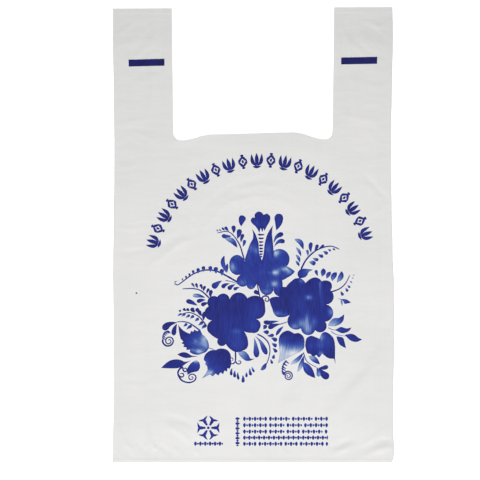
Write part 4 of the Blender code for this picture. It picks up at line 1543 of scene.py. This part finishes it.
class FlatPattern:
    """The tube's flat pattern, with the print on it, as points and edges to be meshed."""

    def __init__(self, tube: FoldedTube, fields: Sequence[InkField]) -> None:
        """Starts an empty pattern.

        Args:
            tube: The tube that it is the pattern of.
            fields: The fields of ink printed on it.
        """
        self.tube = tube
        self.fields = fields
        self.points: list[Vector] = []
        self.edges: list[tuple[int, int]] = []
        self.faces: list[list[int]] = []

    def add_face(self, outline: Sequence[Point]) -> None:
        """Adds a closed outline.

        Args:
            outline: Its points, on the flat pattern.
        """
        first = len(self.points)
        self.points += [Vector(p) for p in outline]
        self.faces.append(list(range(first, len(self.points))))

    def add_line(self, line: Sequence[Point]) -> None:
        """Adds an open line that edges of the mesh follow.

        Args:
            line: Its points, on the flat pattern.
        """
        first = len(self.points)
        self.points += [Vector(p) for p in line]
        self.edges += [(i, i + 1) for i in range(first, len(self.points) - 1)]

    def on_front(self, x: float, y: float) -> Point:
        """A place on the layout grid, on the flat pattern."""
        panel_x, panel_y = on_panel(x, y)
        return self.tube.front_middle() - panel_x, panel_y

    def add_clear(self, candidates: Iterable[Point], clearance: float) -> None:
        """Adds the points that lie clear of all that is there.

        Args:
            candidates: The points.
            clearance: How far they have to be from the nearest point.
        """
        tree = kdtree.KDTree(len(self.points))
        for i, point in enumerate(self.points):
            tree.insert((point[0], point[1], 0.0), i)
        tree.balance()
        self.points += [Vector(p) for p in candidates if tree.find((p[0], p[1], 0.0))[2] > clearance]

    def lattice(self, low: Point, high: Point, spacing: float) -> list[Point]:
        """Points in staggered rows within a rectangle.

        Args:
            low: Its lower left corner.
            high: Its upper right corner.
            spacing: How far apart the points of a row are.

        Returns:
            The points, row by row.
        """
        rise = spacing * ROW_RISE
        rows = int((high[1] - low[1]) / rise) + 1
        points = []
        for j in range(rows):
            y = low[1] + rise * j
            x = low[0] + (spacing / 2 if j % 2 else 0.0)
            while x < high[0]:
                points.append((x, y))
                x += spacing
        return points

    def ink_points(self, spacing: float, least: float) -> list[Point]:
        """Points within the broader fields of ink, in layout units.

        Args:
            spacing: Their spacing.
            least: Fields narrower than this get none.

        Returns:
            The points, each once.
        """
        found: dict[tuple[int, int], Point] = {}
        rise = spacing * ROW_RISE
        for each in self.fields:
            xs, ys = [p[0] for p in each.outline], [p[1] for p in each.outline]
            if min(max(xs) - min(xs), max(ys) - min(ys)) < least:
                continue
            for j in range(int(min(ys) / rise), int(max(ys) / rise) + 2):
                for i in range(int(min(xs) / spacing) - 1, int(max(xs) / spacing) + 2):
                    x, y = (i + (0.5 if j % 2 else 0.0)) * spacing, j * rise
                    if (i, j) not in found and inside(each.outline, x, y):
                        found[i, j] = (x, y)
        return list(found.values())


@dataclass(frozen=True)
class CarrierBag:
    """The bag itself: its mesh, and how it is dressed."""

    tube: FoldedTube = field(default_factory=FoldedTube)
    printed: Print = field(default_factory=Print)
    name: str = "printed_bag"
    outline_spacing: float = 0.0030
    level_spacing: float = 0.0045
    front_spacing: float = 0.0022
    hidden_spacing: float = 0.0068
    # In layout units: the spacing of the points in the ink, and the narrowest field that gets them
    ink_spacing: float = 1.4
    ink_least: float = 3.4
    # How clear of others a point has to lie, in shares of its spacing
    ink_clear: float = 0.5
    front_clear: float = 0.52
    hidden_clear: float = 0.45
    fold_steps: int = 3
    # The points along each weld's bead: how many columns, and how far each row lies from its middle
    weld_columns: int = 110
    weld_rows: tuple[float, ...] = (-1.0, -0.5, 0.0, 0.5, 1.0)
    weld_clearance: float = 0.0004
    neck_clearance: float = 0.003
    # The sharpest edge that is still shaded as smooth, in degrees
    smooth_angle: float = 50.0

    def pattern(self, fields: Sequence[InkField]) -> FlatPattern:
        """The flat pattern with all that its mesh has to follow.

        Args:
            fields: The fields of ink.

        Returns:
            The pattern: outlines, the folds' lines, and points for the mesh between them.
        """
        tube, sizes = self.tube, self.tube.sizes
        pattern = FlatPattern(tube, fields)
        outline = DieCut(tube).outline(self.outline_spacing)
        pattern.add_face(outline)
        for each in fields:
            pattern.add_face([pattern.on_front(*p) for p in each.outline])
        starts = tube.starts()
        levels = self.levels()
        for fold in starts[1:-1]:
            for i in range(-self.fold_steps, self.fold_steps + 1):
                u = fold + sizes.fold_reach * i / self.fold_steps
                pattern.add_line([(u, y) for y in levels])
        for y in levels:
            if y < sizes.neck - self.neck_clearance:
                pattern.points += [Vector((0.0, y)), Vector((starts[-1], y))]
        inks = [pattern.on_front(*p) for p in pattern.ink_points(self.ink_spacing, self.ink_least)]
        pattern.add_clear(inks, self.ink_spacing * GRID_UNIT * self.ink_clear)
        low, high = starts[3] + sizes.fold_reach, starts[4] - sizes.fold_reach
        columns = [low + (high - low) * i / self.weld_columns for i in range(1, self.weld_columns)]
        welds = [
            (u, weld + tube.bead_half * row)
            for weld in (sizes.foot + tube.foot_weld, sizes.top - tube.handle_weld)
            for row in self.weld_rows
            for u in columns
        ]
        pattern.add_clear((p for p in welds if inside(outline, *p)), self.weld_clearance)
        front = pattern.lattice((low, sizes.foot), (high, sizes.top), self.front_spacing)
        pattern.add_clear((p for p in front if inside(outline, *p)), self.front_spacing * self.front_clear)
        hidden = pattern.lattice((0.0, sizes.foot), (starts[-1], sizes.top), self.hidden_spacing)
        hidden = [p for p in hidden if not low <= p[0] <= high and inside(outline, *p)]
        pattern.add_clear(hidden, self.hidden_spacing * self.hidden_clear)
        return pattern

    def levels(self) -> list[float]:
        """Heights of the points along the folds.

        Returns:
            The heights, evenly spaced from the foot's edge to the handles' tops.
        """
        sizes = self.tube.sizes
        count = round(sizes.height / self.level_spacing)
        return [sizes.foot + sizes.height * i / count for i in range(count + 1)]

    def mesh(self) -> bpy.types.Mesh:
        """The folded film, with no thickness yet.

        Returns:
            The mesh, where each corner of a face knows its ink and its place on the brush's way.
        """
        fields = self.printed.fields()
        pattern = self.pattern(fields)
        points, _, faces, _, _, sources = delaunay_2d_cdt(
            pattern.points, pattern.edges, pattern.faces, 1, 1e-7, True
        )
        log.info("pattern: %d points, %d triangles", len(points), len(faces))
        sheet = bmesh.new()
        ink_layer = sheet.loops.layers.float.new("ink")
        brush_layer = sheet.loops.layers.float_vector.new("brush")
        corners = [sheet.verts.new(self.tube.place(p.x, p.y)) for p in points]
        middle = self.tube.front_middle()
        known: dict[tuple[int, int], tuple[float, Vector]] = {}
        for face, found in zip(faces, sources):
            if 0 not in found:  # outside the die's outline
                continue
            order = [face[i] for i in range(len(face) - 1, -1, -1)]
            made = sheet.faces.new([corners[i] for i in order])
            made.smooth = True
            owner = max(found) - 1  # the topmost field of ink over this face
            if owner < 0:
                continue
            made.material_index = 1
            for loop, i in zip(made.loops, order):
                if (owner, i) not in known:
                    x, y = on_grid(middle - points[i].x, points[i].y)
                    along, across = fields[owner].brush_place(x, y)
                    known[owner, i] = fields[owner].ink(x, y), Vector((along, across, owner * 7.0))
                loop[ink_layer], loop[brush_layer] = known[owner, i]
        bmesh.ops.delete(sheet, geom=[v for v in sheet.verts if not v.link_faces], context="VERTS")
        bmesh.ops.remove_doubles(sheet, verts=sheet.verts, dist=1e-6)
        mesh = bpy.data.meshes.new(self.name)
        sheet.to_mesh(mesh)
        sheet.free()
        return mesh

    def build(self) -> bpy.types.Object:
        """Builds and dresses the bag.

        Returns:
            The bag's object, with its film's thickness.
        """
        bpy.ops.object.select_all(action="DESELECT")
        bag = bpy.data.objects.new(self.name, self.mesh())
        bpy.context.scene.collection.objects.link(bag)
        film, ink = FilmFinish().material(), InkFinish().material()
        # The outer face's two, and the same two slots again for the inner face, which bears no ink
        for each in (film, ink, film, film):
            bag.data.materials.append(each)
        bag.select_set(True)
        bpy.context.view_layer.objects.active = bag
        wall = bag.modifiers.new("film thickness", "SOLIDIFY")
        wall.thickness = self.tube.sizes.film
        wall.offset = 0
        wall.use_even_offset = True
        wall.material_offset = 2
        wall.material_offset_rim = 2
        bpy.ops.object.modifier_apply(modifier=wall.name)
        bpy.ops.object.shade_smooth_by_angle(angle=math.radians(self.smooth_angle))
        bag.select_set(False)
        log.info("bag: %d faces", len(bag.data.polygons))
        return bag


def group_with(
    name: str, inputs: Sequence[tuple[str, str]], outputs: Sequence[tuple[str, str]]
) -> tuple[bpy.types.NodeTree, bpy.types.Node, bpy.types.Node]:
    """A new shader node group.

    Args:
        name: Its name.
        inputs: The name and kind of each input socket.
        outputs: The name and kind of each output socket.

    Returns:
        The group, its input node and its output node.
    """
    group = bpy.data.node_groups.new(name, "ShaderNodeTree")
    for way, sockets in (("INPUT", inputs), ("OUTPUT", outputs)):
        for label, kind in sockets:
            group.interface.new_socket(name=label, in_out=way, socket_type=f"NodeSocket{kind}")
    return group, group.nodes.new("NodeGroupInput"), group.nodes.new("NodeGroupOutput")


class Nodes:
    """Short ways to lay nodes in a tree."""

    def __init__(self, tree: bpy.types.NodeTree) -> None:
        """Starts on a tree."""
        self.tree = tree

    def add(self, kind: str, inputs: dict[int | str, Any] | None = None, **settings: Any) -> bpy.types.Node:
        """Adds a node.

        Args:
            kind: Its kind, without ShaderNode before it.
            inputs: Values and sockets for its inputs, by name or number.
            **settings: Its settings.

        Returns:
            The node.
        """
        node = self.tree.nodes.new(f"ShaderNode{kind}")
        for name, value in settings.items():
            setattr(node, name, value)
        for key, value in (inputs or {}).items():
            if isinstance(value, Socket):
                self.tree.links.new(value, node.inputs[key])
            else:
                node.inputs[key].default_value = value
        return node

    def maths(
        self, operation: str, first: Socket | float, second: Socket | float = 0.0, clamp: bool = False
    ) -> Socket:
        """The result of one sum on two values or sockets."""
        return self.add("Math", {0: first, 1: second}, operation=operation, use_clamp=clamp).outputs[0]

    def noise(self, place: Socket, stretch: tuple[float, float, float], detail: float) -> Socket:
        """Noise over a place.

        Args:
            place: The place.
            stretch: How fast the noise changes along each axis, per metre or per layout unit.
            detail: How many finer noises lie on the first.

        Returns:
            The noise, about 0.5 in its middle.
        """
        mapped = self.add("Mapping", {"Vector": place, "Scale": stretch}).outputs[0]
        inputs = {"Vector": mapped, "Scale": 1.0, "Detail": detail, "Roughness": 0.55}
        return self.add("TexNoise", inputs).outputs["Fac"]

    def mixed(self, share: Socket, first: Socket | Colour, second: Socket | Colour) -> Socket:
        """Two colours mixed: the first where the share is 0, the second where it is 1."""
        return self.add("Mix", {0: share, 6: first, 7: second}, data_type="RGBA").outputs[2]


@dataclass(frozen=True)
class BlownFilm:
    """The film's own surface: a faint cloud in its white, fine lines from the die, and fine crumples."""

    white: Colour = (0.80, 0.795, 0.785, 1.0)
    cloud: Colour = (0.765, 0.765, 0.765, 1.0)
    name: str = "blown film"

    def group(self) -> bpy.types.NodeTree:
        """The node group, built once.

        Returns:
            The group: a place goes in, and a colour, a height and a roughness come out.
        """
        if self.name in bpy.data.node_groups:
            return bpy.data.node_groups[self.name]
        outputs = [("Colour", "Color"), ("Height", "Float"), ("Roughness", "Float")]
        group, inlet, outlet = group_with(self.name, [("Place", "Vector")], outputs)
        nodes = Nodes(group)
        place = inlet.outputs[0]
        cloud = nodes.noise(place, (14.0, 9.0, 9.0), 3.0)
        lines = nodes.noise(place, (620.0, 5.0, 5.0), 2.0)
        bands = nodes.noise(place, (90.0, 1.6, 1.6), 2.0)
        crumple = nodes.noise(place, (70.0, 110.0, 90.0), 5.0)
        ripple = nodes.noise(place, (26.0, 105.0, 40.0), 3.0)
        patchy = nodes.maths("MULTIPLY", nodes.maths("SUBTRACT", cloud, 0.35), 1.4, clamp=True)
        banded = nodes.maths("MULTIPLY", nodes.maths("SUBTRACT", bands, 0.5), 0.9)
        colour = nodes.mixed(nodes.maths("ADD", patchy, banded, clamp=True), self.white, self.cloud)
        fine = nodes.maths("MULTIPLY", lines, 0.16)
        height = nodes.maths("ADD", fine, nodes.maths("MULTIPLY", crumple, 0.75))
        height = nodes.maths("ADD", height, nodes.maths("MULTIPLY", ripple, 1.2))
        rough = nodes.maths("ADD", nodes.maths("MULTIPLY", crumple, 0.16), 0.34)
        for name, socket in (("Colour", colour), ("Height", height), ("Roughness", rough)):
            group.links.new(socket, outlet.inputs[name])
        return group


@dataclass(frozen=True)
class FilmFinish:
    """Bare white film."""

    name: str = "white blown film"
    bump: float = 0.5
    bump_distance: float = 0.0007
    specular: float = 0.42

    def surface(self) -> tuple[bpy.types.Material, Nodes, bpy.types.Node, bpy.types.Node]:
        """A material on the film's own surface.

        Returns:
            The material, its nodes, its shader and the film group's node.
        """
        made = bpy.data.materials.new(self.name)
        made.use_nodes = True
        nodes = Nodes(made.node_tree)
        shader = made.node_tree.nodes["Principled BSDF"]
        shader.inputs["Specular IOR Level"].default_value = self.specular
        place = nodes.add("TexCoord").outputs["Object"]
        film = nodes.add("Group", node_tree=BlownFilm().group())
        made.node_tree.links.new(place, film.inputs[0])
        height = film.outputs["Height"]
        bump = nodes.add("Bump", {"Strength": self.bump, "Distance": self.bump_distance, "Height": height})
        made.node_tree.links.new(bump.outputs[0], shader.inputs["Normal"])
        made.node_tree.links.new(film.outputs["Roughness"], shader.inputs["Roughness"])
        return made, nodes, shader, film

    def material(self) -> bpy.types.Material:
        """The finish's material.

        Returns:
            The material, in the film's own colour.
        """
        made, _, shader, film = self.surface()
        made.node_tree.links.new(film.outputs["Colour"], shader.inputs["Base Color"])
        return made


@dataclass(frozen=True)
class InkFinish(FilmFinish):
    """The blue print: thin ink on the film, streaked along the brush and here and there down the bag."""

    name: str = "blue printing ink"
    specular: float = 0.26
    stops: tuple[tuple[float, Colour], ...] = (
        (0.10, srgb(204, 209, 222)),
        (0.28, srgb(156, 174, 206)),
        (0.48, srgb(96, 122, 180)),
        (0.68, srgb(52, 76, 158)),
        (0.84, srgb(33, 52, 144)),
        (0.94, srgb(24, 36, 124)),
        (1.00, srgb(10, 12, 84)),
    )
    violet: Colour = srgb(48, 26, 134)

    def material(self) -> bpy.types.Material:
        """The finish's material.

        Returns:
            The material, in the ink's colour where its mesh bears ink and the film's where it doesn't.
        """
        made, nodes, shader, film = self.surface()
        ink = nodes.add("Attribute", attribute_name="ink", attribute_type="GEOMETRY").outputs["Fac"]
        brush = nodes.add("Attribute", attribute_name="brush", attribute_type="GEOMETRY").outputs["Vector"]
        place = nodes.add("TexCoord").outputs["Object"]
        bristle = nodes.maths("SUBTRACT", nodes.noise(brush, (0.10, 1.0, 1.0), 3.0), 0.5)
        press = nodes.maths("SUBTRACT", nodes.noise(place, (190.0, 12.0, 22.0), 3.0), 0.5)
        open_share = nodes.maths("MULTIPLY", ink, nodes.maths("SUBTRACT", 1.0, ink))
        streaks = nodes.maths("MULTIPLY", nodes.maths("MULTIPLY", bristle, open_share), 2.6)
        evened = nodes.maths("MULTIPLY", nodes.maths("ADD", press, bristle), 0.08)
        lay = nodes.maths("ADD", nodes.maths("ADD", ink, streaks), evened, clamp=True)
        ramp = nodes.add("ValToRGB", {0: lay})
        while len(ramp.color_ramp.elements) < len(self.stops):
            ramp.color_ramp.elements.new(0.5)
        for element, (stop, colour) in zip(ramp.color_ramp.elements, self.stops):
            element.position, element.color = stop, colour
        streak = nodes.maths("SUBTRACT", nodes.noise(place, (150.0, 9.0, 9.0), 2.0), 0.60)
        violet = nodes.maths("MULTIPLY", nodes.maths("MULTIPLY", streak, 4.5, clamp=True), 0.55)
        blue = nodes.mixed(nodes.maths("MULTIPLY", violet, ink), ramp.outputs[0], self.violet)
        cover = nodes.maths("MULTIPLY", lay, 6.0, clamp=True)
        colour = nodes.mixed(cover, film.outputs["Colour"], blue)
        made.node_tree.links.new(colour, shader.inputs["Base Color"])
        return made


@dataclass(frozen=True)
class Studio:
    """The pale floor, the soft light and the camera over the bag."""

    camera_height: float = 3.0
    frame_width: float = 0.4785
    frame_centre: Point = (-0.01296, -0.00490)
    sensor: float = 36.0
    floor_size: float = 6.0
    floor_level: float = -0.0002
    floor_colour: Colour = (0.78, 0.78, 0.78, 1.0)
    floor_roughness: float = 0.9
    floor_glow: float = 0.74
    world_light: float = 0.27
    white: Colour = (1.0, 1.0, 1.0, 1.0)
    nearest_seen: float = 0.05
    # Each lamp's name, place, size and power
    lamps: tuple[tuple[str, tuple[float, float, float], float, float], ...] = (
        ("overhead_light", (0.02, -0.05, 0.95), 0.5, 4.4),
        ("raking_light", (-0.16, -1.75, 1.15), 0.5, 19.0),
    )

    def build(self) -> None:
        """Sets up the whole studio."""
        self.camera()
        self.lights()
        self.floor()
        self.world()
        bpy.context.scene.view_settings.view_transform = "Standard"
        log.info("studio: camera, lamps, floor and world")

    def camera(self) -> None:
        """A long lens straight over the bag."""
        x, y = self.frame_centre
        bpy.ops.object.camera_add(location=(x, y, self.camera_height), rotation=(0, 0, 0))
        camera = bpy.context.object
        camera.name = "camera"
        camera.data.sensor_width = self.sensor
        camera.data.lens = self.sensor * self.camera_height / self.frame_width
        camera.data.clip_start = self.nearest_seen
        bpy.context.scene.camera = camera

    def lights(self) -> None:
        """A broad lamp over the bag, and one beyond its foot that rakes over its creases."""
        for name, place, size, power in self.lamps:
            bpy.ops.object.light_add(type="AREA", location=place)
            lamp = bpy.context.object
            lamp.name = name
            lamp.data.size = size
            lamp.data.energy = power
            aim = Vector((self.frame_centre[0], self.frame_centre[1], 0.0))
            if name == "overhead_light":  # it looks straight down, and no reflection shows it
                aim = Vector((place[0], place[1], 0.0))
                lamp.visible_glossy = False
            lamp.rotation_euler = (aim - Vector(place)).to_track_quat("-Z", "Y").to_euler()

    def floor(self) -> None:
        """A pale floor that the camera sees as white, with the bag's shadow on it."""
        bpy.ops.mesh.primitive_plane_add(size=self.floor_size, location=(0, 0, self.floor_level))
        floor = bpy.context.object
        floor.name = "floor"
        made = bpy.data.materials.new("pale floor")
        made.use_nodes = True
        nodes = Nodes(made.node_tree)
        shader = made.node_tree.nodes["Principled BSDF"]
        shader.inputs["Base Color"].default_value = self.floor_colour
        shader.inputs["Roughness"].default_value = self.floor_roughness
        shader.inputs["Emission Color"].default_value = self.white
        glow = nodes.maths("MULTIPLY", self.seen(nodes), self.floor_glow)
        made.node_tree.links.new(glow, shader.inputs["Emission Strength"])
        floor.data.materials.append(made)

    def world(self) -> None:
        """Even light from all round, which the camera sees as white."""
        world = bpy.data.worlds.new("studio")
        bpy.context.scene.world = world
        world.use_nodes = True
        nodes = Nodes(world.node_tree)
        sky = world.node_tree.nodes["Background"]
        sky.inputs["Color"].default_value = self.white
        more = nodes.maths("MULTIPLY", self.seen(nodes), 1.0 - self.world_light)
        strength = nodes.maths("ADD", more, self.world_light)
        world.node_tree.links.new(strength, sky.inputs["Strength"])

    def seen(self, nodes: Nodes) -> Socket:
        """Tells the rays that the camera sees from those that light things.

        Args:
            nodes: The tree that asks.

        Returns:
            1 on rays from the camera, straight or by reflection, and 0 on all others.
        """
        path = nodes.add("LightPath")
        glossy = nodes.maths("ADD", path.outputs["Is Camera Ray"], path.outputs["Is Glossy Ray"])
        return nodes.maths("ADD", glossy, path.outputs["Is Transmission Ray"], clamp=True)


def main() -> None:
    """Builds the studio and the bag, and says what the bag stands for."""
    Studio().build()
    bag = CarrierBag().build()
    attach(bag, "root")
    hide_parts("bag")


if __name__ == "__main__":
    main()
